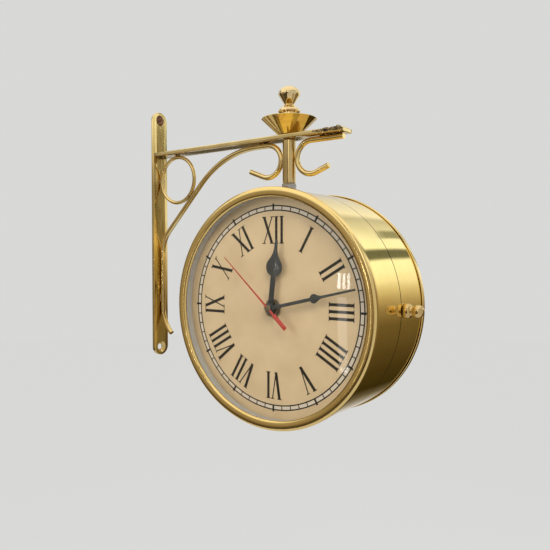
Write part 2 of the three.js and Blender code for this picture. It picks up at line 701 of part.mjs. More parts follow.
// Glass: a shallow dome of even thickness under the bezel.
function glass(side) {
  const outside = [];
  const inside = [];
  for (let ring = 0; ring <= GLASS_RINGS; ring += 1) {
    const share = ring / GLASS_RINGS;
    const sag = GLASS_DOME * (1 - share * share);
    outside.push([fitRadius * share, glassFront - sag]);
    inside.unshift([fitRadius * share, glassBack - sag]);
  }
  return piece(`${side}_glass`, turnedY([...outside, ...inside], RIM_SIDES), CLEAR_GLASS);
}

// Liner between glass and dial, dial, and the ring behind it.
function dialPack(side) {
  const liner = tube(BEZEL_OPENING_RADIUS + LINER_SETBACK, fitRadius, glassBack + SEAT, DIAL_RECESS - SEAT);
  const dialHole = BUSH_RADIUS + RUN;
  const dial = tube(dialHole, fitRadius, DIAL_RECESS, dialBack);
  const ringFront = dialBack + SEAT;
  const ring = tube(fitRadius - DIAL_RING_WIDTH, fitRadius, ringFront, ringFront + DIAL_RING_DEPTH);
  return [
    piece(`${side}_liner`, turnedY(liner, RIM_SIDES), GREY_LINER),
    piece(`${side}_dial`, turnedY(dial, RIM_SIDES), CREAM_DIAL),
    piece(`${side}_dial_ring`, turnedY(ring, RIM_SIDES), POLISHED_BRASS),
  ];
}

// Movement case: a square box with a threaded bush in front, a bay for the cell below and a cover above it.
function movement(side) {
  const half = MOVEMENT_SIZE / 2;
  const inside = half - MOVEMENT_WALL;
  const bayTop = -inside + 2 * (BATTERY_RADIUS + RUN);
  const shelf = bayTop + MOVEMENT_WALL;
  const roundSquare = new THREE.Shape();
  const corner = MOVEMENT_CORNER;
  roundSquare.absarc(half - corner, half - corner, corner, 0, Math.PI / 2, false);
  roundSquare.absarc(-half + corner, half - corner, corner, Math.PI / 2, Math.PI, false);
  roundSquare.absarc(-half + corner, -half + corner, corner, Math.PI, (3 * Math.PI) / 2, false);
  roundSquare.absarc(half - corner, -half + corner, corner, (3 * Math.PI) / 2, 2 * Math.PI, false);
  roundSquare.closePath();
  const floor = movementFront + MOVEMENT_WALL;
  const bushFront = DIAL_RECESS - BUSH_PROUD;
  const bush = turnedY(disc(BUSH_RADIUS, bushFront, floor), SMALL_SIDES);
  const bore = turnedY(disc(HOUR_TUBE_RADIUS + RUN, bushFront - THROUGH, floor + THROUGH), SMALL_SIDES);
  const wheelRoom = block(-inside, inside, floor, movementBack + THROUGH, shelf, inside);
  const bay = block(-inside, inside, floor, movementBack + THROUGH, -inside, bayTop);
  const outer = flat(roundSquare, movementFront, movementBack, CORNER_STEPS);
  const box = cut(join(outer, bush), bore, wheelRoom, bay);

  const coverLow = movementBack - MOVEMENT_WALL;
  const setBore = disc(SET_SHAFT_RADIUS + RUN, coverLow - THROUGH, movementBack + THROUGH);
  const setHole = turnedY(setBore, SMALL_SIDES);
  const cover = block(-inside + SEAT, inside - SEAT, coverLow, movementBack, shelf + SEAT, inside - SEAT);

  const batteryZ = -inside + RUN + BATTERY_RADIUS;
  const cell = turnedX([
    [0, -BATTERY_LENGTH / 2],
    [BATTERY_RADIUS, -BATTERY_LENGTH / 2],
    [BATTERY_RADIUS, BATTERY_LENGTH / 2 - BATTERY_NUB_LENGTH],
    [BATTERY_NUB_RADIUS, BATTERY_LENGTH / 2 - BATTERY_NUB_LENGTH],
    [BATTERY_NUB_RADIUS, BATTERY_LENGTH / 2],
    [0, BATTERY_LENGTH / 2],
  ], SMALL_SIDES);
  const battery = piece(`${side}_battery`, cell, CELL_SLEEVE);
  battery.position.set(0, floor + RUN + BATTERY_RADIUS, batteryZ);

  const washerHigh = DIAL_RECESS - SEAT;
  const washerLow = washerHigh - BUSH_WASHER_THICKNESS;
  const nutHigh = washerLow - SEAT;
  const washer = tube(BUSH_RADIUS + RUN, BUSH_WASHER_RADIUS, washerLow, washerHigh);
  const nut = flat(hexagon(BUSH_NUT_FLATS), nutHigh - BUSH_NUT_HEIGHT, nutHigh);
  const nutBore = turnedY(disc(BUSH_RADIUS + RUN, 0, DIAL_RECESS), SMALL_SIDES);
  return [
    piece(`${side}_movement_case`, box, BLACK_PLASTIC),
    piece(`${side}_movement_cover`, cut(cover, setHole.translate(setX(), 0, 0)), GREY_PLASTIC),
    battery,
    piece(`${side}_dial_washer`, turnedY(washer, SMALL_SIDES), BRIGHT_STEEL),
    piece(`${side}_dial_nut`, cut(nut, nutBore), POLISHED_BRASS),
  ];
}

// The set knob's wheel is as large as the minute wheel and turns beside it.
function setX() {
  return -(2 * MINUTE_WHEEL_RADIUS + RUN);
}

function setKnob(side) {
  const knobLow = movementBack + SEAT;
  const wheelHigh = movementFront + MOVEMENT_WALL + MINUTE_LEVEL * WHEEL_SPACING + WHEEL_THICKNESS;
  const body = turnedY([
    [0, wheelHigh - WHEEL_THICKNESS],
    [MINUTE_WHEEL_RADIUS, wheelHigh - WHEEL_THICKNESS],
    [MINUTE_WHEEL_RADIUS, wheelHigh],
    [SET_SHAFT_RADIUS, wheelHigh],
    [SET_SHAFT_RADIUS, knobLow],
    [SET_KNOB_RADIUS, knobLow],
    [SET_KNOB_RADIUS, knobLow + SET_KNOB_HEIGHT],
    [0, knobLow + SET_KNOB_HEIGHT],
  ], SMALL_SIDES);
  const knob = piece(`${side}_set_knob`, body, WHITE_PLASTIC);
  knob.position.x = setX();
  return knob;
}

// Arbors inside one another, each with its wheel inside the movement: hour outside, second in the middle.
function arbors(side) {
  const floor = movementFront + MOVEMENT_WALL;
  const wheel = (bore, arborRadius, wheelRadius, tip, level) => {
    const low = floor + level * WHEEL_SPACING;
    const high = low + WHEEL_THICKNESS;
    return turnedY([
      [bore, tip],
      [arborRadius, tip],
      [arborRadius, low],
      [wheelRadius, low],
      [wheelRadius, high],
      [bore, high],
    ], SMALL_SIDES);
  };
  const hourTip = DIAL_RECESS - HOUR_HAND_HEIGHT - HAND_THICKNESS - SEAT;
  const minuteTip = DIAL_RECESS - MINUTE_HAND_HEIGHT - HAND_THICKNESS - SEAT;
  const secondTip = DIAL_RECESS - SECOND_HAND_HEIGHT;
  const hourBore = MINUTE_TUBE_RADIUS + RUN;
  const minuteBore = SECOND_ARBOR_RADIUS + RUN;
  const hour = wheel(hourBore, HOUR_TUBE_RADIUS, HOUR_WHEEL_RADIUS, hourTip, HOUR_LEVEL);
  const minute = wheel(minuteBore, MINUTE_TUBE_RADIUS, MINUTE_WHEEL_RADIUS, minuteTip, MINUTE_LEVEL);
  const second = wheel(0, SECOND_ARBOR_RADIUS, SECOND_WHEEL_RADIUS, secondTip, SECOND_LEVEL);
  return [
    piece(`${side}_hour_wheel`, hour, WHITE_PLASTIC),
    piece(`${side}_minute_wheel`, minute, WHITE_PLASTIC),
    piece(`${side}_second_wheel`, second, WHITE_PLASTIC),
  ];
}

// A spade hand pointing up: round hub, stalk, round spade and a long blunt tip.
function spadeHand(hub, stalk, spade, reach, length, tip) {
  const stalkAtHub = Math.asin(stalk / 2 / hub);
  const stalkAtSpade = Math.asin(stalk / 2 / spade);
  const shape = new THREE.Shape();
  shape.absarc(0, 0, hub, Math.PI / 2 + stalkAtHub, Math.PI / 2 - stalkAtHub + 2 * Math.PI, false);
  shape.absarc(0, reach, spade, -Math.PI / 2 + stalkAtSpade, Math.PI / 4, false);
  shape.quadraticCurveTo(tip / 2, reach + spade, tip / 2, reach + 2 * spade);
  shape.lineTo(tip / 2, length);
  shape.lineTo(-tip / 2, length);
  shape.lineTo(-tip / 2, reach + 2 * spade);
  shape.quadraticCurveTo(-tip / 2, reach + spade, -spade * Math.SQRT1_2, reach + spade * Math.SQRT1_2);
  shape.absarc(0, reach, spade, (3 * Math.PI) / 4, (3 * Math.PI) / 2 - stalkAtSpade, false);
  shape.closePath();
  return shape;
}

function bladeAt(shape, height, bore) {
  shape.holes.push(new THREE.Path().absarc(0, 0, bore, 0, 2 * Math.PI, true));
  const low = DIAL_RECESS - height - HAND_THICKNESS;
  return flat(shape, low, low + HAND_THICKNESS);
}

function hands(side) {
  const hourShape = spadeHand(
    HOUR_HUB_RADIUS, HOUR_STALK_WIDTH, HOUR_SPADE_RADIUS, HOUR_SPADE_REACH, HOUR_HAND_LENGTH, HOUR_TIP_WIDTH,
  );
  const minuteShape = spadeHand(
    MINUTE_HUB_RADIUS, MINUTE_STALK_WIDTH, MINUTE_SPADE_RADIUS, MINUTE_SPADE_REACH, MINUTE_HAND_LENGTH,
    MINUTE_TIP_WIDTH,
  );
  const hourBlade = bladeAt(hourShape, HOUR_HAND_HEIGHT, HOUR_TUBE_RADIUS + RUN);
  const minuteBlade = bladeAt(minuteShape, MINUTE_HAND_HEIGHT, MINUTE_TUBE_RADIUS + RUN);
  const hour = piece(`${side}_hour_hand`, hourBlade, BLACK_LACQUER);
  const minute = piece(`${side}_minute_hand`, minuteBlade, BLACK_LACQUER);

  const needle = new THREE.Shape();
  needle.moveTo(-SECOND_NEEDLE_WIDTH / 2, SECOND_HAND_LENGTH);
  needle.lineTo(-SECOND_NEEDLE_WIDTH, -SECOND_TAIL_START);
  needle.lineTo(-SECOND_TAIL_WIDTH / 2, -SECOND_TAIL_START);
  needle.lineTo(-SECOND_TAIL_WIDTH / 2, -SECOND_TAIL_LENGTH);
  needle.lineTo(SECOND_TAIL_WIDTH / 2, -SECOND_TAIL_LENGTH);
  needle.lineTo(SECOND_TAIL_WIDTH / 2, -SECOND_TAIL_START);
  needle.lineTo(SECOND_NEEDLE_WIDTH, -SECOND_TAIL_START);
  needle.lineTo(SECOND_NEEDLE_WIDTH / 2, SECOND_HAND_LENGTH);
  needle.closePath();
  const low = DIAL_RECESS - SECOND_HAND_HEIGHT - HAND_THICKNESS;
  const boss = turnedY(disc(SECOND_HUB_RADIUS, low - SEAT / 2, low + 2 * HAND_THICKNESS), SMALL_SIDES);
  const socketFloor = low + HAND_THICKNESS - SECOND_SOCKET_GAP;
  const socket = turnedY(disc(SECOND_ARBOR_RADIUS + RUN, socketFloor, DIAL_RECESS), SMALL_SIDES);
  const blade = cut(join(flat(needle, low, low + HAND_THICKNESS), boss), socket);
  const second = piece(`${side}_second_hand`, blade, RED_LACQUER);

  const minutes = SHOWN_MINUTE + SHOWN_SECOND / 60;
  hour.rotation.y = ((SHOWN_HOUR + minutes / 60) / 12) * 2 * Math.PI;
  minute.rotation.y = (minutes / 60) * 2 * Math.PI;
  second.rotation.y = (SHOWN_SECOND / 60) * 2 * Math.PI;
  return [hour, minute, second];
}

// One clock: everything from the bezel's face inwards along local +Y, with twelve o'clock up.
function clockUnit(side) {
  const unit = new THREE.Group();
  unit.add(bezel(side), glass(side), ...dialPack(side), ...movement(side));
  unit.add(setKnob(side), ...arbors(side), ...hands(side));
  return unit;
}

const clock = new THREE.Group();
clock.add(wallPlate(), wallScrew(), arm(), brace(), cornerRing(), endScroll(), stem());
clock.add(frontCase(), rearCase(), seamRing(), hinge(), pullKnob());
const frontUnit = clockUnit('front');
frontUnit.position.set(STEM_REACH, frontY, drumZ);
const rearUnit = clockUnit('rear');
rearUnit.position.set(STEM_REACH, backY, drumZ);
rearUnit.rotation.z = Math.PI;
clock.add(frontUnit, rearUnit);

export default clock;
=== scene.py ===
import math
import bpy
from mathutils import Matrix, Vector


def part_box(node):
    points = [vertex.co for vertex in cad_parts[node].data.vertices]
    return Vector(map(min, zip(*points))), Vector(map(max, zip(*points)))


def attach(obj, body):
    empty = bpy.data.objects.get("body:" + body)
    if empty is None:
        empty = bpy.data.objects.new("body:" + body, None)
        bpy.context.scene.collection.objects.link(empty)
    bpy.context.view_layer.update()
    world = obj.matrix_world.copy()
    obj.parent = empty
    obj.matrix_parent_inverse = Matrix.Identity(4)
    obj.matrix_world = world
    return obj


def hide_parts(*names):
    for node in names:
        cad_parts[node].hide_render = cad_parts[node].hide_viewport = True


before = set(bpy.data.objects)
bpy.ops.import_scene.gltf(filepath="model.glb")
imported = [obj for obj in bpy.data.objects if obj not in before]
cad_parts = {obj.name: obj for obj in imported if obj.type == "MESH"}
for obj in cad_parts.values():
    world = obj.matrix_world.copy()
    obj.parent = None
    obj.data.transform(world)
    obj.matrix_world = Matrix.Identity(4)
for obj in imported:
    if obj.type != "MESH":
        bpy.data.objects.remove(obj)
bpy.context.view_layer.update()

bpy.ops.object.select_all(action="DESELECT")


# ---------------------------------------------------------------------------------------------
# Camera: a little above the middle of the dials and below the cup, close enough for the near
# edge of the drum to look larger than the far one. The drum's place comes from the frame.
MM = 0.001
CAMERA_AZIMUTH = math.radians(37)
CAMERA_ELEVATION = math.radians(5)
CAMERA_DISTANCE = 0.413
SENSOR_WIDTH = 36
FOCAL_PIXELS = 600
IMAGE_PIXELS = 550
DIAL_LEFT_OF_CENTRE = 10
DIAL_BELOW_CENTRE = 34


def corners(node):
    """The lowest and the highest corner of a CAD node's box."""
    return [Vector(corner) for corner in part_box(node)]


bezel_low, bezel_high = corners("front_bezel")
drum_x = (bezel_low.x + bezel_high.x) / 2
drum_z = (bezel_low.z + bezel_high.z) / 2
front_y = bezel_low.y
back_y = corners("rear_bezel")[1].y
seam_y = (front_y + back_y) / 2
drum_front = Vector((drum_x, front_y, drum_z))
drum_axis = Vector((drum_x, 0, drum_z))

turn = CAMERA_AZIMUTH - math.atan(DIAL_LEFT_OF_CENTRE / FOCAL_PIXELS)
dip = CAMERA_ELEVATION - math.atan(DIAL_BELOW_CENTRE / FOCAL_PIXELS)
camera_place = drum_front + CAMERA_DISTANCE * Vector((
    math.sin(CAMERA_AZIMUTH) * math.cos(CAMERA_ELEVATION),
    -math.cos(CAMERA_AZIMUTH) * math.cos(CAMERA_ELEVATION),
    math.sin(CAMERA_ELEVATION),
))
bpy.ops.object.camera_add(location=camera_place, rotation=(math.pi / 2 - dip, 0, turn))
camera = bpy.context.object
camera.data.sensor_width = SENSOR_WIDTH
camera.data.lens = SENSOR_WIDTH * FOCAL_PIXELS / IMAGE_PIXELS
camera.data.clip_start = 0.01
bpy.context.scene.camera = camera
bpy.context.scene.view_settings.view_transform = "Standard"


# ---------------------------------------------------------------------------------------------
# Studio: a pale world and a pale floor far below the clock, lit by three soft lamps that neither
# metal nor glass shows. What these show instead are painted screens, as a photographer's flags.
PALE = (0.69, 0.69, 0.677, 1)
ROOM_TINT = (0.96, 0.97, 1.0, 1)
ROOM_STRENGTH = 0.55
FLOOR_DROP = 0.8
FLOOR_RADIUS = 6
FLOOR_GLOW = 1.025
FLOOR_GLOW_SHARE = 0.92
LOOKING_RAYS = ("Is Camera Ray", "Is Glossy Ray", "Is Transmission Ray")


def feed(tree, socket, value):
    """Links another node's output to the socket, or sets a plain number or colour on it."""
    if isinstance(value, bpy.types.NodeSocket):
        tree.links.new(value, socket)
    else:
        socket.default_value = value


def reckon(tree, operation, *values):
    """A maths node, fed with outputs or plain numbers."""
    node = tree.nodes.new("ShaderNodeMath")
    node.operation = operation
    for socket, value in zip(node.inputs, values):
        feed(tree, socket, value)
    return node.outputs[0]


def seen_by(tree, rays):
    """One for the named kinds of rays, and nought for all others."""
    path = tree.nodes.new("ShaderNodeLightPath")
    seen = path.outputs[rays[0]]
    for ray in rays[1:]:
        seen = reckon(tree, "MAXIMUM", seen, path.outputs[ray])
    return seen


def mix_surfaces(tree, output, share, first, second):
    """Gives the output the first shader, or the second by the share."""
    mix = tree.nodes.new("ShaderNodeMixShader")
    tree.links.new(share, mix.inputs["Fac"])
    tree.links.new(first.outputs[0], mix.inputs[1])
    tree.links.new(second.outputs[0], mix.inputs[2])
    tree.links.new(mix.outputs[0], tree.nodes[output].inputs["Surface"])


world = bpy.data.worlds.new("pale_studio")
bpy.context.scene.world = world
world.use_nodes = True
tree = world.node_tree
backdrop = tree.nodes["Background"]
backdrop.inputs["Color"].default_value = PALE
backdrop.inputs["Strength"].default_value = 1.0
room = tree.nodes.new("ShaderNodeBackground")
room.inputs["Color"].default_value = ROOM_TINT
room.inputs["Strength"].default_value = ROOM_STRENGTH
mix_surfaces(tree, "World Output", seen_by(tree, LOOKING_RAYS), room, backdrop)

bpy.ops.mesh.primitive_circle_add(vertices=96, radius=FLOOR_RADIUS, fill_type="NGON",
                                  location=(drum_x, 0, drum_z - FLOOR_DROP))
floor = bpy.context.object
floor.name = "studio_floor"
floor_finish = bpy.data.materials.new("pale_floor")
floor_finish.use_nodes = True
tree = floor_finish.node_tree
matt_paint = tree.nodes["Principled BSDF"]
matt_paint.inputs["Base Color"].default_value = PALE
matt_paint.inputs["Roughness"].default_value = 0.9
even_glow = tree.nodes.new("ShaderNodeEmission")
even_glow.inputs["Color"].default_value = PALE
even_glow.inputs["Strength"].default_value = FLOOR_GLOW
glow_share = reckon(tree, "MULTIPLY", seen_by(tree, LOOKING_RAYS), FLOOR_GLOW_SHARE)
mix_surfaces(tree, "Material Output", glow_share, matt_paint, even_glow)
floor.data.materials.append(floor_finish)

# Each lamp has its place, its width and height, its power and its colour, and faces the drum.
LAMPS = (
    ("key_lamp", (1.0, -0.75, 0.95), (0.8, 0.5), 17, (1.0, 0.97, 0.90)),
    ("fill_lamp", (-0.7, -1.3, 0.35), (1.0, 1.0), 10, (0.95, 0.97, 1.0)),
    ("back_lamp", (0.2, 1.5, 0.6), (1.0, 0.8), 12, (1.0, 1.0, 1.0)),
)
for name, place, (width, height), power, colour in LAMPS:
    bpy.ops.object.light_add(type="AREA", location=place)
    lamp = bpy.context.object
    lamp.name = name
    lamp.data.shape = "RECTANGLE"
    lamp.data.size = width
    lamp.data.size_y = height
    lamp.data.energy = power
    lamp.data.color = colour
    lamp.rotation_euler = (drum_axis - lamp.location).to_track_quat("-Z", "Y").to_euler()
    lamp.visible_glossy = False
    lamp.visible_transmission = False


def painted_screen(name, place, size, way):
    """A flat screen that shows only in metal and glass. Its tree and its glow come back."""
    bpy.ops.mesh.primitive_plane_add(size=1, location=place, rotation=way)
    screen = bpy.context.object
    screen.name = name
    screen.scale = (*size, 1)
    paint = bpy.data.materials.new(name + "_paint")
    paint.use_nodes = True
    tree = paint.node_tree
    tree.nodes.remove(tree.nodes["Principled BSDF"])
    glow = tree.nodes.new("ShaderNodeEmission")
    tree.links.new(glow.outputs[0], tree.nodes["Material Output"].inputs["Surface"])
    screen.data.materials.append(paint)
    screen.visible_camera = False
    screen.visible_diffuse = False
    screen.visible_shadow = False
    return tree, glow


def coordinates(tree, kind="Object"):
    return tree.nodes.new("ShaderNodeTexCoord").outputs[kind]


def split_axes(tree, vector):
    split = tree.nodes.new("ShaderNodeSeparateXYZ")
    tree.links.new(vector, split.inputs["Vector"])
    return split.outputs


def reckon_vector(tree, operation, *values):
    """A vector maths node, fed as the plain one is. A length comes back as a number."""
    node = tree.nodes.new("ShaderNodeVectorMath")
    node.operation = operation
    for socket, value in zip(node.inputs, values):
        feed(tree, socket, value)
    return node.outputs["Value" if operation == "LENGTH" else "Vector"]


def noise(tree, vector, scale, detail):
    node = tree.nodes.new("ShaderNodeTexNoise")
    node.inputs["Scale"].default_value = scale
    node.inputs["Detail"].default_value = detail
    tree.links.new(vector, node.inputs["Vector"])
    return node.outputs["Fac"]


def lay_out(tree, value, given, wanted):
    """The given range of a value laid out over the wanted one, and held at its ends."""
    node = tree.nodes.new("ShaderNodeMapRange")
    node.inputs["From Min"].default_value = given[0]
    node.inputs["From Max"].default_value = given[1]
    node.inputs["To Min"].default_value = wanted[0]
    node.inputs["To Max"].default_value = wanted[1]
    tree.links.new(value, node.inputs["Value"])
    return node.outputs["Result"]


def colour_ramp(tree, value, stops):
    """A ramp read at the value. A stop is its place from 0 to 1 and its colour."""
    node = tree.nodes.new("ShaderNodeValToRGB")
    elements = node.color_ramp.elements
    for place, colour in stops[1:-1]:
        elements.new(place)
    for element, (place, colour) in zip(elements, stops):
        element.position = place
        element.color = (*colour, 1)
    tree.links.new(value, node.inputs["Fac"])
    return node.outputs["Color"]


def mix_colours(tree, share, first, second):
    """The first colour, or the second by the share. Each is an output or a plain colour."""
    node = tree.nodes.new("ShaderNodeMix")
    node.data_type = "RGBA"
    feed(tree, node.inputs["Factor"], share)
    feed(tree, node.inputs[6], first)
    feed(tree, node.inputs[7], second)
    return node.outputs[2]


# The screen behind the clock is what the barrel mirrors. It is painted round its middle like a
# clock face: a bright window above on the right, its two dark glazing bars, a dim room below.
# The upper bar ends at a reach that only the rear half of the barrel mirrors. Object coordinates
# on a screen count its whole width as 1.
ALONG = {"X": (0, math.pi / 2, 0), "Y": (math.pi / 2, 0, 0), "Z": (0, 0, 0)}
ROUND_SCREEN = (
    (-180, (0.62, 0.60, 0.57)),
    (-128, (0.66, 0.64, 0.62)),
    (-108, (0.16, 0.13, 0.08)),
    (-94, (0.045, 0.032, 0.006)),
    (-72, (0.07, 0.048, 0.012)),
    (-50, (0.11, 0.078, 0.028)),
    (-24, (0.18, 0.13, 0.055)),
    (-10, (0.34, 0.26, 0.15)),
    (0, (0.58, 0.48, 0.32)),
    (9, (0.84, 0.76, 0.56)),
    (18, (1.18, 1.16, 1.02)),
    (28, (1.32, 1.36, 1.24)),
    (39, (1.35, 1.42, 1.30)),
    (41.5, (0.22, 0.23, 0.18)),
    (49, (0.18, 0.19, 0.15)),
    (51.5, (1.32, 1.40, 1.28)),
    (63, (1.25, 1.32, 1.25)),
    (65, (0.40, 0.42, 0.34)),
    (72, (0.36, 0.38, 0.30)),
    (75, (0.95, 0.97, 0.88)),
    (90, (0.70, 0.70, 0.62)),
    (96, (1.15, 1.15, 1.05)),
    (118, (0.90, 0.88, 0.78)),
    (140, (0.66, 0.64, 0.60)),
    (180, (0.62, 0.60, 0.57)),
)
ROUND_SIZE = 2.6
ROUND_DEPTH = 0.65
SCREEN_SLANT = 0.045
RIPPLE = 0.016
UPPER_BAR = (64, 73)
BAR_REACH = (0.377 / ROUND_SIZE, 0.389 / ROUND_SIZE)

tree, glow = painted_screen("round_screen", (drum_x, ROUND_DEPTH, drum_z), (ROUND_SIZE, ROUND_SIZE),
                            ALONG["Y"])
spot = coordinates(tree)
around = tree.nodes.new("ShaderNodeTexGradient")
around.gradient_type = "RADIAL"
tree.links.new(spot, around.inputs["Vector"])
ripples = lay_out(tree, noise(tree, spot, 14, 3), (0, 1), (-RIPPLE, RIPPLE))
reach = reckon_vector(tree, "LENGTH", spot)
angle = reckon(tree, "ADD", around.outputs["Fac"], ripples)
slanted = reckon(tree, "MULTIPLY_ADD", reach, -SCREEN_SLANT, angle)
all_stops = [((degrees + 180) / 360, colour) for degrees, colour in ROUND_SCREEN]
barless_stops = [((degrees + 180) / 360, colour) for degrees, colour in ROUND_SCREEN
                 if not UPPER_BAR[0] < degrees < UPPER_BAR[1]]
feed(tree, glow.inputs["Color"], mix_colours(
    tree,
    lay_out(tree, reach, BAR_REACH, (0, 1)),
    colour_ramp(tree, slanted, all_stops),
    colour_ramp(tree, slanted, barless_stops),
))

# The screen in front is what the bezel, the rods, the hands and the glass mirror: a bright upper
# part, a dim warm room at eye level and a dark floor, in heights from the foot of the screen.
# From side to side it has two dark posts, and it is brightest at the right.
FRONT_SCREEN = (
    (0.0, (0.05, 0.04, 0.02)),
    (0.26, (0.09, 0.07, 0.04)),
    (0.40, (0.34, 0.28, 0.19)),
    (0.52, (0.40, 0.35, 0.26)),
    (0.64, (0.46, 0.42, 0.34)),
    (0.70, (1.20, 1.20, 1.10)),
    (1.0, (1.30, 1.30, 1.22)),
)
FRONT_PLACE = (drum_x - 0.42, -0.68, drum_z)
FRONT_SIZE = (2.6, 1.8)
FRONT_WAY = (math.pi / 2, 0, math.radians(-32))
FRONT_SIDES = (
    (0.0, 0.5), (0.14, 0.5),
    (0.17, 0.12), (0.28, 0.15),
    (0.31, 1.0), (0.70, 1.0),
    (0.73, 0.15), (0.79, 0.12),
    (0.82, 1.5), (1.0, 1.5),
)
tree, glow = painted_screen("front_screen", FRONT_PLACE, FRONT_SIZE, FRONT_WAY)
shares = split_axes(tree, coordinates(tree, "Generated"))
feed(tree, glow.inputs["Color"], colour_ramp(tree, shares["Y"], FRONT_SCREEN))
side_stops = [(place, (grey, grey, grey)) for place, grey in FRONT_SIDES]
feed(tree, glow.inputs["Strength"], colour_ramp(tree, shares["X"], side_stops))

# Plain screens, placed from the middle of the front bezel: a dark one that the wall plate mirrors,
# a dark rail that edges the rods, a bright ceiling for the finial, and three bright panes over a
# dimmer strip of light with a bright foot, which show as the highlight at the right of the glass.
WINDOW_WAY = (math.pi / 2, 0, math.radians(-24))
WINDOW_WHITE = (1.0, 1.0, 0.97)
STRIP_WHITE = (1.0, 0.97, 0.90)
PLAIN_SCREENS = (
    ("plate_flag", (0.87, 0.66, -0.14), (0.8, 1.0), ALONG["Y"], (0.25, 0.205, 0.10), 1),
    ("rod_rail", (-0.85, 0.66, -0.035), (0.9, 0.17), ALONG["Y"], (0.08, 0.065, 0.035), 1),
    ("ceiling", (-0.2, -0.1, 0.95), (1.8, 1.4), ALONG["Z"], (1.30, 1.27, 1.18), 1),
    ("window_pane_0", (-0.167, -0.475, 0.013), (0.006, 0.030), WINDOW_WAY, WINDOW_WHITE, 16),
    ("window_pane_1", (-0.156, -0.475, 0.013), (0.005, 0.030), WINDOW_WAY, WINDOW_WHITE, 16),
    ("window_pane_2", (-0.146, -0.475, 0.013), (0.004, 0.030), WINDOW_WAY, WINDOW_WHITE, 16),
    ("light_strip", (-0.160, -0.475, -0.093), (0.019, 0.150), WINDOW_WAY, STRIP_WHITE, 2.4),
    ("light_spot", (-0.160, -0.475, -0.160), (0.014, 0.008), WINDOW_WAY, STRIP_WHITE, 7),
)
for name, place, size, way, colour, strength in PLAIN_SCREENS:
    tree, glow = painted_screen(name, drum_front + Vector(place), size, way)
    glow.inputs["Color"].default_value = (*colour, 1)
    glow.inputs["Strength"].default_value = strength


# ---------------------------------------------------------------------------------------------
# Wall plate: a flat brass bar with round ends and two countersunk holes, sawn, filed and
# polished. It is screwed to the wall and carries the arm and the foot of the brace.
plate_low, plate_high = corners("wall_plate")
PLATE_THICKNESS = plate_high.x - plate_low.x
PLATE_WIDTH = plate_high.y - plate_low.y
PLATE_LENGTH = plate_high.z - plate_low.z
PLATE_EDGE = 0.5 * MM
SCREW_INSET = 6.8 * MM
SCREW_HOLE_RADIUS = 2.5 * MM
SCREW_HEAD_RADIUS = 4.5 * MM
SCREW_HEAD_DEPTH = 2 * MM
COUNTERSINK_PLAY = 0.4 * MM
DRILL_LENGTH = 20 * MM
EVEN = (1, 1, 1)


def blank_finish(name, colour, metallic=0.0, roughness=0.5):
    material = bpy.data.materials.new(name)
    material.use_nodes = True
    shader = material.node_tree.nodes["Principled BSDF"]
    shader.inputs["Base Color"].default_value = (*colour, 1)
    shader.inputs["Metallic"].default_value = metallic
    shader.inputs["Roughness"].default_value = roughness
    return material, material.node_tree, shader


def object_grain(tree, stretch, scale, detail):
    """A noise on Object coordinates, stretched so that its streaks lie along the small axes."""
    mapping = tree.nodes.new("ShaderNodeMapping")
    mapping.inputs["Scale"].default_value = stretch
    tree.links.new(coordinates(tree), mapping.inputs["Vector"])
    return noise(tree, mapping.outputs["Vector"], scale, detail)


def spread(tree, grain, low, high):
    """The middle range of a noise, laid out from low to high."""
    return lay_out(tree, grain, (0.3, 0.7), (low, high))


def two_tone(tree, grain, dark, light):
    return colour_ramp(tree, grain, ((0.35, dark), (0.65, light)))


def scratches(tree, shader, grain, strength, depth):
    bump = tree.nodes.new("ShaderNodeBump")
    bump.inputs["Strength"].default_value = strength
    bump.inputs["Distance"].default_value = depth
    tree.links.new(grain, bump.inputs["Height"])
    tree.links.new(bump.outputs["Normal"], shader.inputs["Normal"])


def polished_brass(name, stretch, light=(0.82, 0.63, 0.27), dark=(0.70, 0.51, 0.19),
                   roughness=(0.05, 0.13), line_strength=0.04):
    """Brass with cloudy tarnish, uneven polish and fine lines along the way it was worked."""
    material, tree, shader = blank_finish(name, light, metallic=1.0)
    clouds = object_grain(tree, EVEN, 38, 2)
    feed(tree, shader.inputs["Base Color"], two_tone(tree, clouds, dark, light))
    lines = object_grain(tree, stretch, 60, 2)
    feed(tree, shader.inputs["Roughness"], spread(tree, lines, *roughness))
    scratches(tree, shader, lines, line_strength, 0.02 * MM)
    return material


bar_brass = polished_brass("bar_brass", (18, 18, 1.2), light=(0.74, 0.57, 0.26),
                           dark=(0.56, 0.41, 0.17), roughness=(0.10, 0.20), line_strength=0.01)


def select_only(*pieces):
    bpy.ops.object.select_all(action="DESELECT")
    for piece in pieces:
        piece.select_set(True)
    bpy.context.view_layer.objects.active = pieces[0]


def apply_place(piece):
    select_only(piece)
    bpy.ops.object.transform_apply(location=True, rotation=True, scale=True)


def smooth(piece, degrees=35):
    apply_place(piece)
    bpy.ops.object.shade_smooth_by_angle(angle=math.radians(degrees))


def soften_edges(piece, width, segments=3, degrees=30):
    apply_place(piece)
    bevel = piece.modifiers.new("soft_edges", "BEVEL")
    bevel.width = width
    bevel.segments = segments
    bevel.limit_method = "ANGLE"
    bevel.angle_limit = math.radians(degrees)
    bpy.ops.object.modifier_apply(modifier=bevel.name)


def carve(piece, tool, operation="DIFFERENCE"):
    """Cuts the tool out of the piece, or keeps what they share, and throws the tool away."""
    apply_place(tool)
    apply_place(piece)
    cutter = piece.modifiers.new("cutter", "BOOLEAN")
    cutter.operation = operation
    cutter.solver = "EXACT"
    cutter.object = tool
    bpy.ops.object.modifier_apply(modifier=cutter.name)
    bpy.data.objects.remove(tool, do_unlink=True)


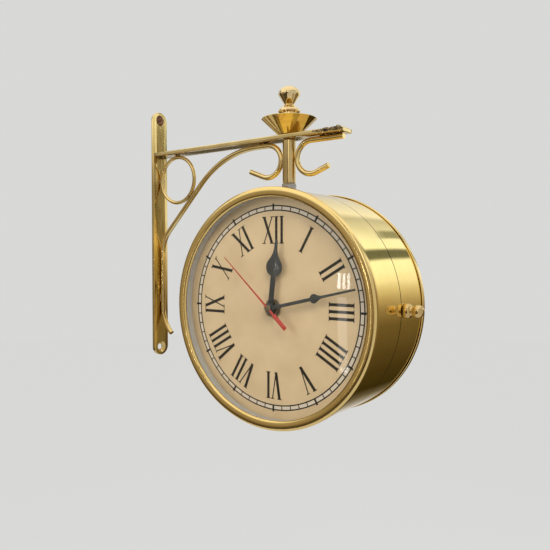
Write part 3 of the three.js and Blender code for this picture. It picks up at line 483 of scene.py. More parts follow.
def drill(piece, radius, place, axis, vertices=48):
    """A round hole through the piece, along the named axis."""
    bpy.ops.mesh.primitive_cylinder_add(vertices=vertices, radius=radius, depth=DRILL_LENGTH,
                                        location=place, rotation=ALONG[axis])
    carve(piece, bpy.context.object)


def mend_normals(piece):
    select_only(piece)
    bpy.ops.object.mode_set(mode="EDIT")
    bpy.ops.mesh.select_all(action="SELECT")
    bpy.ops.mesh.remove_doubles(threshold=0.002 * MM)
    bpy.ops.mesh.normals_make_consistent(inside=False)
    bpy.ops.object.mode_set(mode="OBJECT")


def dress(piece, name, body, material, nodes=()):
    piece.name = name
    piece.data.name = name
    piece.data.materials.clear()
    piece.data.materials.append(material)
    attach(piece, body)
    if nodes:
        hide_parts(*nodes)


def pull(piece, chosen, way):
    """Moves those vertices of a flat piece whose height is chosen."""
    for vertex in piece.data.vertices:
        vertex.select = chosen(vertex.co.z)
    for edge in piece.data.edges:
        edge.select = all(piece.data.vertices[index].select for index in edge.vertices)
    piece.data.polygons[0].select = False
    bpy.ops.object.mode_set(mode="EDIT")
    bpy.ops.mesh.select_mode(type="VERT")
    bpy.ops.transform.translate(value=way)
    bpy.ops.object.mode_set(mode="OBJECT")


# A circle is pulled apart into a bar with round ends, and extruded to its thickness.
bpy.ops.mesh.primitive_circle_add(vertices=64, radius=PLATE_WIDTH / 2, fill_type="NGON",
                                  rotation=ALONG["X"])
plate = bpy.context.object
apply_place(plate)
half_straight = (PLATE_LENGTH - PLATE_WIDTH) / 2
pull(plate, lambda z: z > 0.01 * MM, (0, 0, half_straight))
pull(plate, lambda z: z < -0.01 * MM, (0, 0, -half_straight))
bpy.ops.object.mode_set(mode="EDIT")
bpy.ops.mesh.select_all(action="SELECT")
bpy.ops.mesh.extrude_region_move(TRANSFORM_OT_translate={"value": (PLATE_THICKNESS, 0, 0)})
bpy.ops.object.mode_set(mode="OBJECT")
mend_normals(plate)
soften_edges(plate, PLATE_EDGE)
for end in (1, -1):
    hole_z = end * (plate_high.z - SCREW_INSET)
    drill(plate, SCREW_HOLE_RADIUS, (0, 0, hole_z), "X")
    bpy.ops.mesh.primitive_cone_add(
        vertices=48, radius1=SCREW_HOLE_RADIUS, radius2=SCREW_HEAD_RADIUS + COUNTERSINK_PLAY,
        depth=SCREW_HEAD_DEPTH + COUNTERSINK_PLAY, rotation=ALONG["X"],
        location=(PLATE_THICKNESS + (COUNTERSINK_PLAY - SCREW_HEAD_DEPTH) / 2, 0, hole_z),
    )
    carve(plate, bpy.context.object)
smooth(plate)
dress(plate, "polished_wall_plate", "bracket", bar_brass, ("wall_plate",))


# ---------------------------------------------------------------------------------------------
# Wall screw: a slotted countersunk screw of darkened steel, rusty in its slot, in the top hole.
# The hole at the foot of the plate is empty.
screw_low, screw_high = corners("wall_screw")
SLOT_WIDTH = 0.9 * MM
SLOT_DEPTH = 0.7 * MM
SLOT_TURN = math.radians(35)
SLOT_EDGE = 0.08 * MM
HEAD_LAND = 0.15 * MM
HEAD_ROUND = 0.5 * MM
HEAD_RISE = 0.3 * MM
HEAD_CREST = 0.12 * MM


def walked(places, centre=(0, 0, 0)):
    """A vertex extruded from place to place. It comes back still in edit mode."""
    bpy.ops.mesh.primitive_plane_add(size=MM, location=centre)
    piece = bpy.context.object
    bpy.ops.object.mode_set(mode="EDIT")
    bpy.ops.mesh.merge(type="CENTER")
    bpy.ops.transform.translate(value=places[0])
    for here, there in zip(places, places[1:]):
        bpy.ops.mesh.extrude_vertices_move(TRANSFORM_OT_translate={"value": there - here})
    return piece


def turned(profile, centre, axis, steps=96):
    """A profile of (radius, distance along the axis) spun round the axis, as on a lathe."""
    outwards = Vector((0, 0, 1)) if axis == "X" else Vector((1, 0, 0))
    along = {"X": Vector((1, 0, 0)), "Y": Vector((0, 1, 0)), "Z": Vector((0, 0, 1))}[axis]
    piece = walked([radius * outwards + distance * along for radius, distance in profile], centre)
    bpy.ops.mesh.select_all(action="SELECT")
    bpy.ops.mesh.spin(steps=steps, angle=2 * math.pi, center=centre, axis=along)
    bpy.ops.object.mode_set(mode="OBJECT")
    mend_normals(piece)
    apply_place(piece)
    return piece


def grained_finish(name, dark, light, roughness, grain, relief=None, metallic=0.0):
    """A finish with one noise in its colour, its polish and its relief. The grain is a stretch, a
    scale and a detail, and the relief a strength and a depth."""
    material, tree, shader = blank_finish(name, light, metallic)
    source = object_grain(tree, *grain)
    feed(tree, shader.inputs["Base Color"], two_tone(tree, source, dark, light))
    feed(tree, shader.inputs["Roughness"], spread(tree, source, *roughness))
    if relief:
        scratches(tree, shader, source, *relief)
    return material


screw_middle = Vector((0, 0, (screw_low.z + screw_high.z) / 2))
head_radius = (screw_high.z - screw_low.z) / 2
cone_start = screw_high.x - SCREW_HEAD_DEPTH
screw = turned([
    (0, screw_low.x),
    (head_radius - SCREW_HEAD_DEPTH, screw_low.x),
    (head_radius - SCREW_HEAD_DEPTH, cone_start),
    (head_radius - HEAD_LAND, screw_high.x - HEAD_RISE),
    (head_radius - HEAD_LAND, screw_high.x - HEAD_CREST),
    (head_radius - HEAD_ROUND, screw_high.x),
    (0, screw_high.x),
], screw_middle, "X", 48)
bpy.ops.mesh.primitive_cube_add(size=1, location=(screw_high.x, 0, screw_middle.z),
                                rotation=(SLOT_TURN, 0, 0),
                                scale=(2 * SLOT_DEPTH, 4 * head_radius, SLOT_WIDTH))
carve(screw, bpy.context.object)
soften_edges(screw, SLOT_EDGE, 2)
smooth(screw)
dark_steel = grained_finish("darkened_steel", dark=(0.05, 0.03, 0.025), light=(0.30, 0.13, 0.06),
                            roughness=(0.35, 0.75), grain=(EVEN, 900, 6), relief=(0.4, 0.1 * MM),
                            metallic=0.7)
dress(screw, "slotted_wall_screw", "bracket", dark_steel, ("wall_screw",))


# ---------------------------------------------------------------------------------------------
# Arm: a flat brass bar brazed to the plate and drilled for the stem, its edges broken with a
# file and polished.
arm_low, arm_high = corners("arm_bar")
ARM_EDGE = 0.4 * MM
STEM_HOLE_RADIUS = 3.3 * MM

arm_middle = (arm_low + arm_high) / 2
bpy.ops.mesh.primitive_cube_add(size=1, location=arm_middle, scale=arm_high - arm_low)
arm = bpy.context.object
apply_place(arm)
bpy.ops.object.mode_set(mode="EDIT")
bpy.ops.mesh.select_all(action="SELECT")
bpy.ops.mesh.subdivide(number_cuts=3)
bpy.ops.object.mode_set(mode="OBJECT")
soften_edges(arm, ARM_EDGE)
drill(arm, STEM_HOLE_RADIUS, (drum_x, 0, arm_middle.z), "Z")
smooth(arm)
arm_brass = polished_brass("arm_brass", (1.2, 18, 18), light=(0.78, 0.61, 0.31),
                           dark=(0.60, 0.45, 0.20), roughness=(0.08, 0.20))
dress(arm, "polished_arm", "bracket", arm_brass, ("arm_bar",))


# ---------------------------------------------------------------------------------------------
# Brace and end scroll: 4 mm brass rod bent cold round pegs, polished, and brazed under the arm.
# The brace starts in an open curl at the plate's foot and ends in a hook at the stem.
ROD_RADIUS = 2 * MM
ROD_SEAT = 0.3 * MM
FOOT_RADIUS = 28 * MM
FOOT_SWEEP = 50
FOOT_RISE = 41 * MM
KNEE_RADIUS = 28 * MM
SHOULDER_RADIUS = 80 * MM
CURL_RADIUS = 11.7 * MM
TAIL_RISE = 21
BRACE_TAIL = 13 * MM
SCROLL_TAIL = 11 * MM
STEM_RADIUS = 4.75 * MM
ring_low, ring_high = corners("corner_ring")
ring_middle = (ring_low + ring_high) / 2
ring_outside = (ring_high.z - ring_low.z) / 2


def arc(centre, radius, start, end, steps):
    """Points of a round stretch, from the start angle to the end angle in degrees."""
    angles = [math.radians(start + (end - start) * step / steps) for step in range(steps + 1)]
    return [(centre[0] + radius * math.cos(angle), centre[1] + radius * math.sin(angle))
            for angle in angles]


def standing(outline):
    """Points (x, z) as places in the upright plane where y is nought."""
    return [Vector((x, 0, z)) for x, z in outline]


def bent_rod(route, radius):
    """A vertex walked along the route, turned into a round rod with flat cut ends."""
    piece = walked(standing(route))
    bpy.ops.object.mode_set(mode="OBJECT")
    apply_place(piece)
    bpy.ops.object.convert(target="CURVE")
    curve = bpy.context.object
    curve.data.bevel_depth = radius
    curve.data.bevel_resolution = 6
    curve.data.use_fill_caps = True
    bpy.ops.object.convert(target="MESH")
    piece = bpy.context.object
    mend_normals(piece)
    smooth(piece, 40)
    return piece


def tail(curl, turned_to, length, side):
    """The tip of the straight end that leaves a curl at an angle and rises to one side."""
    angle = math.radians(turned_to)
    rise = math.radians(TAIL_RISE)
    return [(curl[0] + CURL_RADIUS * math.cos(angle) + side * length * math.cos(rise),
             curl[1] + CURL_RADIUS * math.sin(angle) + length * math.sin(rise))]


# The brace's middle line: up along the plate, 45 degrees under the corner ring, and along the
# arm. The knee and the shoulder are the corners that its two bends round off.
upright = PLATE_THICKNESS + ROD_SEAT + ROD_RADIUS
run_z = arm_low.z - ROD_SEAT - ROD_RADIUS
foot_z = plate_low.z + FOOT_RISE
slope_drop = (ring_outside + ROD_SEAT + ROD_RADIUS) * math.sqrt(2)
knee_z = upright + ring_middle.z - ring_middle.x - slope_drop
shoulder_x = upright + run_z - knee_z
bend_start = math.tan(math.radians(45) / 2)
hook_x = drum_x - STEM_RADIUS - ROD_SEAT - ROD_RADIUS - CURL_RADIUS
hook_z = run_z - CURL_RADIUS
brace_route = (
    arc((upright + FOOT_RADIUS, foot_z), FOOT_RADIUS, 180 + FOOT_SWEEP, 180, 16)
    + arc((upright + KNEE_RADIUS, knee_z - KNEE_RADIUS * bend_start), KNEE_RADIUS, 180, 135, 12)
    + arc((shoulder_x + SHOULDER_RADIUS * bend_start, run_z - SHOULDER_RADIUS), SHOULDER_RADIUS,
          135, 90, 20)
    + arc((hook_x, hook_z), CURL_RADIUS, 90, -90 - TAIL_RISE, 40)
    + tail((hook_x, hook_z), -90 - TAIL_RISE, BRACE_TAIL, -1)
)
rod_brass = polished_brass("rod_brass", (6, 6, 6), light=(0.82, 0.64, 0.31),
                           dark=(0.60, 0.43, 0.17), roughness=(0.05, 0.15), line_strength=0.05)
brace = bent_rod(brace_route, ROD_RADIUS)
dress(brace, "bent_brace_rod", "bracket", rod_brass, ("brace_rod",))

scroll_x = drum_x + STEM_RADIUS + ROD_SEAT + ROD_RADIUS + CURL_RADIUS
scroll_route = (
    [(arm_high.x - ROD_RADIUS, run_z)]
    + arc((scroll_x, hook_z), CURL_RADIUS, 90, 270 + TAIL_RISE, 40)
    + tail((scroll_x, hook_z), 270 + TAIL_RISE, SCROLL_TAIL, 1)
)
scroll = bent_rod(scroll_route, ROD_RADIUS)
dress(scroll, "bent_end_scroll", "bracket", rod_brass, ("end_scroll",))


# ---------------------------------------------------------------------------------------------
# Corner ring: 3 mm brass rod closed into a ring, and brazed to the plate, the arm and the
# brace. All the braze of the bracket is made here, as small crusted runs that were left rough.
RING_ROD_RADIUS = 1.5 * MM
BRAZE_SINK = 0.2 * MM
TIP_BRAZE_SINK = 1.1 * MM

ring = turned(
    arc((ring_outside - RING_ROD_RADIUS, 0), RING_ROD_RADIUS, 0, 360, 20),
    Vector((ring_middle.x, 0, ring_middle.z)), "Y", 96,
)
smooth(ring, 60)
dress(ring, "closed_corner_ring", "bracket", rod_brass, ("corner_ring",))

braze = grained_finish("braze_metal", dark=(0.03, 0.018, 0.012), light=(0.46, 0.34, 0.18),
                       roughness=(0.50, 0.16), grain=(EVEN, 420, 8), relief=(0.7, 0.3 * MM),
                       metallic=0.9)


def braze_run(name, place, size, lump=1.1):
    """A frozen run of braze: a ball stretched over the joint and roughened with a noise. Its
    half sizes and its lumps are in millimetres."""
    bpy.ops.mesh.primitive_ico_sphere_add(subdivisions=4, radius=1, location=place,
                                          scale=[half * MM for half in size])
    run = bpy.context.object
    apply_place(run)
    lumps = bpy.data.textures.new(name + "_lumps", "CLOUDS")
    lumps.noise_scale = lump * MM
    rough = run.modifiers.new("lumps", "DISPLACE")
    rough.texture = lumps
    rough.texture_coords = "LOCAL"
    rough.strength = 0.45 * lump * MM
    bpy.ops.object.modifier_apply(modifier=rough.name)
    smooth(run, 80)
    dress(run, name, "bracket", braze)


on_plate = PLATE_THICKNESS + BRAZE_SINK
under_arm = arm_low.z - BRAZE_SINK
slope = ring_outside * math.sqrt(0.5)
braze_run("ring_to_plate_braze", (on_plate, 0, ring_middle.z), (0.7, 1.5, 2.6))
braze_run("ring_to_arm_braze", (ring_middle.x, 0, under_arm), (2.6, 1.5, 0.7))
braze_run("ring_to_brace_braze", (ring_middle.x + slope, 0, ring_middle.z - slope), (1.6, 1.4, 1.6))
braze_run("brace_to_arm_braze", (shoulder_x + 0.5 * SHOULDER_RADIUS, 0, under_arm), (4.5, 1.6, 0.6))
braze_run("brace_to_plate_braze", (on_plate, 0, foot_z + 8 * MM), (0.6, 1.6, 4))
braze_run("arm_to_plate_braze", (on_plate, 0, arm_low.z - 0.1 * MM), (0.8, 6.5, 0.8))
braze_run("scroll_to_arm_braze", (arm_high.x - 12 * MM, -0.4 * MM, under_arm), (9, 1.8, 0.6))

# The crust at the arm's tip: how far each run lies from the tip, and its half sizes.
TIP_BRAZE = (
    (2.0, (2.6, 1.1, 1.8)),
    (6.4, (3.8, 0.8, 1.3)),
    (11.5, (3.0, 1.1, 1.6)),
    (16.0, (3.4, 0.7, 1.1)),
    (20.5, (3.0, 0.6, 0.8)),
)
for index, (from_tip, size) in enumerate(TIP_BRAZE):
    place = (arm_high.x - from_tip * MM, arm_low.y + BRAZE_SINK, arm_high.z - TIP_BRAZE_SINK)
    braze_run(f"tip_braze_{index}", place, size, lump=1.9)


# ---------------------------------------------------------------------------------------------
# Stem: a drawn brass tube between the arm and a hexagon nut of machined steel, which clamps
# the drum to the rod with a second nut inside.
tube_low, tube_high = corners("stem_tube")
TUBE_WALL = 1.3 * MM
TUBE_EDGE = 0.3 * MM
NUT_CHAMFER = 0.5 * MM
THREAD_HOLE_RADIUS = 3.3 * MM
NUT_EDGE = 0.12 * MM
stem_foot = Vector((drum_x, 0, 0))

tube = turned([
    (STEM_RADIUS - TUBE_WALL, tube_low.z + TUBE_EDGE),
    (STEM_RADIUS - TUBE_EDGE, tube_low.z),
    (STEM_RADIUS, tube_low.z + TUBE_EDGE),
    (STEM_RADIUS, tube_high.z - TUBE_EDGE),
    (STEM_RADIUS - TUBE_EDGE, tube_high.z),
    (STEM_RADIUS - TUBE_WALL, tube_high.z - TUBE_EDGE),
    (STEM_RADIUS - TUBE_WALL, tube_low.z + TUBE_EDGE),
], stem_foot, "Z", 64)
smooth(tube)
tube_brass = polished_brass("tube_brass", (20, 20, 1), light=(0.78, 0.60, 0.30),
                            dark=(0.60, 0.43, 0.18))
dress(tube, "drawn_stem_tube", "bracket", tube_brass, ("stem_tube",))

machined_steel = grained_finish("machined_steel", dark=(0.30, 0.27, 0.23), light=(0.58, 0.57, 0.54),
                                roughness=(0.28, 0.5), grain=((1, 1, 22), 120, 5),
                                relief=(0.25, 0.04 * MM), metallic=1.0)


def hexagon_nut(node):
    """Six flats, the corners turned off at both ends, and a bore for the rod."""
    low, high = corners(node)
    corner = (high.x - low.x) / 2
    middle = (low + high) / 2
    bpy.ops.mesh.primitive_cylinder_add(vertices=6, radius=corner, depth=high.z - low.z,
                                        location=middle, rotation=(0, 0, math.pi / 2))
    nut = bpy.context.object
    lens = turned([
        (0, low.z),
        (corner - 1.6 * NUT_CHAMFER, low.z),
        (corner, low.z + NUT_CHAMFER),
        (corner, high.z - NUT_CHAMFER),
        (corner - 1.6 * NUT_CHAMFER, high.z),
        (0, high.z),
    ], Vector((middle.x, middle.y, 0)), "Z", 72)
    carve(nut, lens, "INTERSECT")
    drill(nut, THREAD_HOLE_RADIUS, middle, "Z")
    soften_edges(nut, NUT_EDGE, 2)
    smooth(nut, 30)
    return nut


for node in ("stem_nut", "inner_nut"):
    dress(hexagon_nut(node), "chamfered_" + node, "bracket", machined_steel, (node,))


# ---------------------------------------------------------------------------------------------
# Threaded rod and washer: plain steel, inside the stem and under the drum's shell. The thread
# is cut as rings, each as far from the next as the turns of a 1 mm thread.
rod_low, rod_high = corners("threaded_rod")
THREAD_PITCH = 1.0 * MM
THREAD_DEPTH = 0.35 * MM
THREAD_RADIUS = (rod_high.x - rod_low.x) / 2
WASHER_EDGE = 0.2 * MM

threads = int((rod_high.z - rod_low.z) / THREAD_PITCH)
rod_top = rod_low.z + threads * THREAD_PITCH
thread_profile = [(0, rod_low.z)]
for thread in range(threads):
    foot = rod_low.z + thread * THREAD_PITCH
    thread_profile.append((THREAD_RADIUS - THREAD_DEPTH, foot))
    thread_profile.append((THREAD_RADIUS, foot + THREAD_PITCH / 2))
thread_profile += [(THREAD_RADIUS - THREAD_DEPTH, rod_top), (0, rod_top)]
threaded_rod = turned(thread_profile, stem_foot, "Z", 32)
smooth(threaded_rod, 50)
dress(threaded_rod, "cut_thread", "bracket", machined_steel, ("threaded_rod",))

washer_low, washer_high = corners("inner_washer")
washer_radius = (washer_high.x - washer_low.x) / 2
washer = turned([
    (THREAD_HOLE_RADIUS, washer_low.z),
    (washer_radius - WASHER_EDGE, washer_low.z),
    (washer_radius, washer_low.z + WASHER_EDGE),
    (washer_radius, washer_high.z - WASHER_EDGE),
    (washer_radius - WASHER_EDGE, washer_high.z),
    (THREAD_HOLE_RADIUS, washer_high.z),
    (THREAD_HOLE_RADIUS, washer_low.z),
], stem_foot, "Z", 48)
smooth(washer)
dress(washer, "stamped_washer", "bracket", machined_steel, ("inner_washer",))


# ---------------------------------------------------------------------------------------------
# Cup: a cone of thin brass spun on a lathe, with a sharp turned rim. It stands on the arm, and
# the rod runs up through its floor.
cup_low, cup_high = corners("cone_cup")
CUP_BASE_RADIUS = 8.2 * MM
CUP_WALL = 1.2 * MM
CUP_ROUND = 0.35 * MM
cup_rim = (cup_high.x - cup_low.x) / 2

cup = turned([
    (THREAD_HOLE_RADIUS, cup_low.z),
    (CUP_BASE_RADIUS - CUP_ROUND, cup_low.z),
    (CUP_BASE_RADIUS + 0.1 * MM, cup_low.z + CUP_ROUND),
    (cup_rim - 0.7 * MM, cup_high.z - 0.9 * MM),
    (cup_rim, cup_high.z - 0.35 * MM),
    (cup_rim - 0.25 * MM, cup_high.z),
    (cup_rim - CUP_WALL, cup_high.z - 0.1 * MM),
    (CUP_BASE_RADIUS - CUP_WALL / 2, cup_low.z + CUP_WALL),
    (THREAD_HOLE_RADIUS, cup_low.z + CUP_WALL),
    (THREAD_HOLE_RADIUS, cup_low.z),
], stem_foot, "Z", 128)
smooth(cup, 30)


def lathe_brass(name, axis, centre, lines, light=(0.82, 0.61, 0.26), dark=(0.66, 0.46, 0.17),
                roughness=(0.05, 0.13), line_strength=0.05):
    """Turned brass. Its fine lines and its bands of tarnish follow the tool round the axis, so
    they change only with the distance from the axis and the distance along it."""
    material, tree, shader = blank_finish(name, light, metallic=1.0)
    spot = split_axes(tree, reckon_vector(tree, "SUBTRACT", coordinates(tree), centre))
    squares = [reckon(tree, "MULTIPLY", spot[way], spot[way]) for way in "XYZ" if way != axis]
    rings = tree.nodes.new("ShaderNodeCombineXYZ")
    feed(tree, rings.inputs["X"], reckon(tree, "SQRT", reckon(tree, "ADD", *squares)))
    feed(tree, rings.inputs["Y"], spot[axis])
    cuts = noise(tree, rings.outputs["Vector"], lines, 5)
    bands = noise(tree, rings.outputs["Vector"], lines / 5, 6)
    half_clouds = reckon(tree, "MULTIPLY", object_grain(tree, EVEN, 30, 5), 0.5)
    tarnish = reckon(tree, "MULTIPLY_ADD", bands, 0.5, half_clouds)
    feed(tree, shader.inputs["Base Color"], two_tone(tree, tarnish, dark, light))
    feed(tree, shader.inputs["Roughness"], spread(tree, cuts, *roughness))
    scratches(tree, shader, cuts, line_strength, 0.02 * MM)
    return material


cup_brass = lathe_brass("spun_cup_brass", "Z", stem_foot, 2500, light=(0.72, 0.53, 0.20),
                        dark=(0.56, 0.38, 0.12))
dress(cup, "spun_cone_cup", "bracket", cup_brass, ("cone_cup",))


# ---------------------------------------------------------------------------------------------
# Finial: solid brass turned in one piece, a neck in the cup, a bell, a waist and a domed ball,
# drilled from below and screwed onto the rod.
finial_low, finial_high = corners("finial")
NECK_RADIUS = 4.7 * MM
BELL_RADIUS = 7.9 * MM
WAIST_RADIUS = 3.6 * MM
WAIST_RISE = 5.4 * MM
BALL_RISE = 12.6 * MM
DOME_HEIGHT = 6 * MM
SOCKET_RADIUS = 3.15 * MM
SOCKET_DEPTH = 9 * MM
BELL_CURVE = ((0.955, 1.5), (0.87, 2.3), (0.75, 3.1), (0.62, 3.8))

ball_z = finial_high.z - DOME_HEIGHT
neck_z = ball_z - BALL_RISE
waist_z = neck_z + WAIST_RISE
dome = [(BELL_RADIUS * math.cos(angle), ball_z + DOME_HEIGHT * math.sin(angle))
        for angle in map(math.radians, range(0, 91, 6))]
finial = turned([
    (0, neck_z + SOCKET_DEPTH),
    (SOCKET_RADIUS, neck_z + SOCKET_DEPTH - MM),
    (SOCKET_RADIUS, finial_low.z),
    (NECK_RADIUS, finial_low.z),
    (NECK_RADIUS, neck_z - 0.3 * MM),
    (NECK_RADIUS + 0.5 * MM, neck_z),
    (BELL_RADIUS - 0.35 * MM, neck_z),
    (BELL_RADIUS, neck_z + 0.3 * MM),
    (BELL_RADIUS - 0.05 * MM, neck_z + 0.8 * MM),
    *[(BELL_RADIUS * share, neck_z + rise * MM) for share, rise in BELL_CURVE],
    (WAIST_RADIUS + 0.35 * MM, waist_z - 0.6 * MM),
    (WAIST_RADIUS, waist_z),
    (WAIST_RADIUS + 0.35 * MM, waist_z + 0.7 * MM),
    (BELL_RADIUS - 0.45 * MM, ball_z - 1.2 * MM),
    (BELL_RADIUS - 0.1 * MM, ball_z - 0.5 * MM),
    *dome,
], stem_foot, "Z", 96)
smooth(finial, 30)
finial_brass = lathe_brass("turned_finial_brass", "Z", stem_foot, 3000, light=(0.84, 0.67, 0.38),
                           dark=(0.66, 0.49, 0.24), roughness=(0.04, 0.10))
dress(finial, "turned_finial", "bracket", finial_brass, ("finial",))


# ---------------------------------------------------------------------------------------------
# Case halves: two short tubes rolled from brass sheet and polished round their girth, which
# meet at the seam. The front half is fixed to the stem, and the rear half swings open.
BARREL_RADIUS = 83 * MM
BARREL_WALL = 1.2 * MM
BARREL_EDGE = 0.08 * MM
KNOB_SCREW_HOLE = 1.55 * MM
# Within a hair of the seam the barrel is painted dark: painted shade for the gap between the
# halves.
SEAM_SHADE_REACH = 0.45 * MM
SEAM_SHADE = (0.05, 0.03, 0.012, 1)
front_case_low, front_case_high = corners("front_case")
rear_case_low, rear_case_high = corners("rear_case")


def case_half(low_y, high_y):
    inside = BARREL_RADIUS - BARREL_WALL
    run = high_y - low_y - 2 * BARREL_EDGE
    stops = [low_y + BARREL_EDGE + run * step / 6 for step in range(7)]
    return turned([
        (inside, high_y),
        (inside, low_y),
        (BARREL_RADIUS - BARREL_EDGE, low_y),
        *[(BARREL_RADIUS, stop) for stop in stops],
        (BARREL_RADIUS - BARREL_EDGE, high_y),
        (inside, high_y),
    ], drum_axis, "Y", 192)


front_case = case_half(front_case_low.y, front_case_high.y)
drill(front_case, THREAD_HOLE_RADIUS, (drum_x, 0, drum_z + BARREL_RADIUS), "Z")
smooth(front_case, 30)
rear_case = case_half(rear_case_low.y, rear_case_high.y)
knob_low, knob_high = corners("pull_knob")
knob_middle = (knob_low + knob_high) / 2
drill(rear_case, KNOB_SCREW_HOLE, (drum_x + BARREL_RADIUS, knob_middle.y, drum_z), "X", 32)
smooth(rear_case, 30)


def off_seam(tree):
    """How far a spot lies before or behind the seam, the same on the front and the rear half."""
    depth = split_axes(tree, coordinates(tree))["Y"]
    return reckon(tree, "ABSOLUTE", reckon(tree, "SUBTRACT", depth, seam_y))


barrel_brass = lathe_brass("rolled_barrel_brass", "Y", drum_axis, 1500, light=(0.86, 0.68, 0.26),
                           dark=(0.78, 0.59, 0.20), roughness=(0.03, 0.09), line_strength=0.06)
tree = barrel_brass.node_tree
base = tree.nodes["Principled BSDF"].inputs["Base Color"]
# Painted shade: a dark band on both halves beside the seam, where the gap between them lies in
# shade.
in_seam_shade = reckon(tree, "LESS_THAN", off_seam(tree), SEAM_SHADE_REACH)
feed(tree, base, mix_colours(tree, in_seam_shade, base.links[0].from_socket, SEAM_SHADE))
dress(front_case, "rolled_front_case", "bracket", barrel_brass, ("front_case",))
dress(rear_case, "rolled_rear_case", "rear_half", barrel_brass, ("rear_case",))


# ---------------------------------------------------------------------------------------------
# Seam ring: a brass hoop brazed inside the front half, with a lead-in edge for the rear half.
# It is left unpolished, and its near-black colour is painted shade, so that the gap at the seam
# reads dark.
seam_low, seam_high = corners("seam_ring")
HOOP_WALL = 1.6 * MM
HOOP_LEAD = 0.5 * MM
hoop_radius = (seam_high.x - seam_low.x) / 2
hoop = turned([
    (hoop_radius - HOOP_WALL, seam_low.y),
    (hoop_radius, seam_low.y),
    (hoop_radius, seam_high.y - 2 * HOOP_LEAD),
    (hoop_radius - HOOP_LEAD, seam_high.y),
    (hoop_radius - HOOP_WALL, seam_high.y),
    (hoop_radius - HOOP_WALL, seam_low.y),
], drum_axis, "Y", 192)
smooth(hoop, 30)
# Near-black brass: painted shade for the seam gap, seen through it.
hoop_brass = lathe_brass("shade_dark_hoop_brass", "Y", drum_axis, 1500, light=(0.16, 0.11, 0.05),
                         dark=(0.07, 0.045, 0.02), roughness=(0.35, 0.55))
dress(hoop, "brazed_seam_hoop", "bracket", hoop_brass, ("seam_ring",))


# ---------------------------------------------------------------------------------------------
# Bezels: brass sheet spun into a round-backed rim, pushed over each open end of the case.
# The rear one is the front one turned half round the drum's upright middle line.
BEZEL_OPENING = 77 * MM
BEZEL_LIP = 4.8 * MM
BEZEL_CREST = 2.2 * MM
BEZEL_EDGE = 0.4 * MM
BEZEL_FIT = 0.3 * MM
SIDES = (("front", "bracket"), ("rear", "rear_half"))
bezel_radius = (bezel_high.x - bezel_low.x) / 2
crest_middle = (BEZEL_OPENING + bezel_radius) / 2
crest_half = (bezel_radius - BEZEL_OPENING) / 2
rise = BEZEL_CREST - BEZEL_EDGE

bezel_face = [(crest_middle - crest_half * math.cos(angle), front_y + rise * (1 - math.sin(angle)))
              for angle in map(math.radians, range(0, 181, 12))]
bezel = turned([
    (BEZEL_OPENING, front_y + BEZEL_CREST),
    *bezel_face,
    (bezel_radius, front_y + BEZEL_LIP - BEZEL_FIT),
    (bezel_radius - BEZEL_FIT, front_y + BEZEL_LIP),
    (BARREL_RADIUS + BEZEL_FIT, front_y + BEZEL_LIP),
    (BARREL_RADIUS + BEZEL_FIT, front_y + BEZEL_CREST),
    (BEZEL_OPENING, front_y + BEZEL_CREST),
], drum_axis, "Y", 192)
smooth(bezel, 40)
bezel_brass = lathe_brass("spun_bezel_brass", "Y", drum_axis, 2200, light=(0.84, 0.62, 0.26),
                          dark=(0.74, 0.53, 0.20), roughness=(0.12, 0.22))


def copied(piece):
    """A copy with a mesh of its own, in the same place and without a parent."""
    select_only(piece)
    bpy.ops.object.duplicate(linked=False)
    copy = bpy.context.object
    copy.parent = None
    copy.matrix_world = piece.matrix_world
    return copy


def rear_copy(piece):
    """The same piece, turned half round the upright line through the middle of the drum."""
    copy = copied(piece)
    to_middle = Matrix.Translation((drum_x, seam_y, 0))
    half_turn = to_middle @ Matrix.Rotation(math.pi, 4, "Z") @ to_middle.inverted()
    copy.matrix_world = half_turn @ piece.matrix_world
    apply_place(copy)
    return copy


def dress_pair(piece, name, material, node=None, body=None):
    """Dresses a piece of the front side, and a copy of it turned round for the rear. Names hold
    {} where they say the side. A piece that is given no body rides on its half of the drum."""
    for part, (side, half) in zip((piece, rear_copy(piece)), SIDES):
        nodes = (node.format(side),) if node else ()
        dress(part, name.format(side), body.format(side) if body else half, material, nodes)


dress_pair(bezel, "spun_{}_bezel", bezel_brass, "{}_bezel")


# ---------------------------------------------------------------------------------------------
# Glasses: shallow domes of clear glass held behind the bezels. Light passes them without a
# shadow, so that the dials are lit as through a thin pane.
glass_low, glass_high = corners("front_glass")
GLASS_THICKNESS = 1.8 * MM
GLASS_RINGS = 16
glass_radius = (glass_high.x - glass_low.x) / 2
glass_edge = glass_high.y - GLASS_THICKNESS
glass_sag = glass_edge - glass_low.y
shares = [step / GLASS_RINGS for step in range(GLASS_RINGS + 1)]
outside = [(glass_radius * share, glass_edge - glass_sag * (1 - share ** 2)) for share in shares]
inside = [(radius, distance + GLASS_THICKNESS) for radius, distance in reversed(outside)]
glass = turned(outside + inside, drum_axis, "Y", 160)
smooth(glass, 30)

clear_glass, tree, shader = blank_finish("clear_dome_glass", (0.97, 0.985, 0.98), roughness=0.02)
shader.inputs["Transmission Weight"].default_value = 1.0
shader.inputs["IOR"].default_value = 1.35
smears = object_grain(tree, EVEN, 26, 6)
feed(tree, shader.inputs["Roughness"], spread(tree, smears, 0.0, 0.006))
open_way = tree.nodes.new("ShaderNodeBsdfTransparent")
lighting = seen_by(tree, ("Is Shadow Ray", "Is Diffuse Ray"))
mix_surfaces(tree, "Material Output", lighting, shader, open_way)
dress_pair(glass, "domed_{}_glass", clear_glass, "{}_glass")


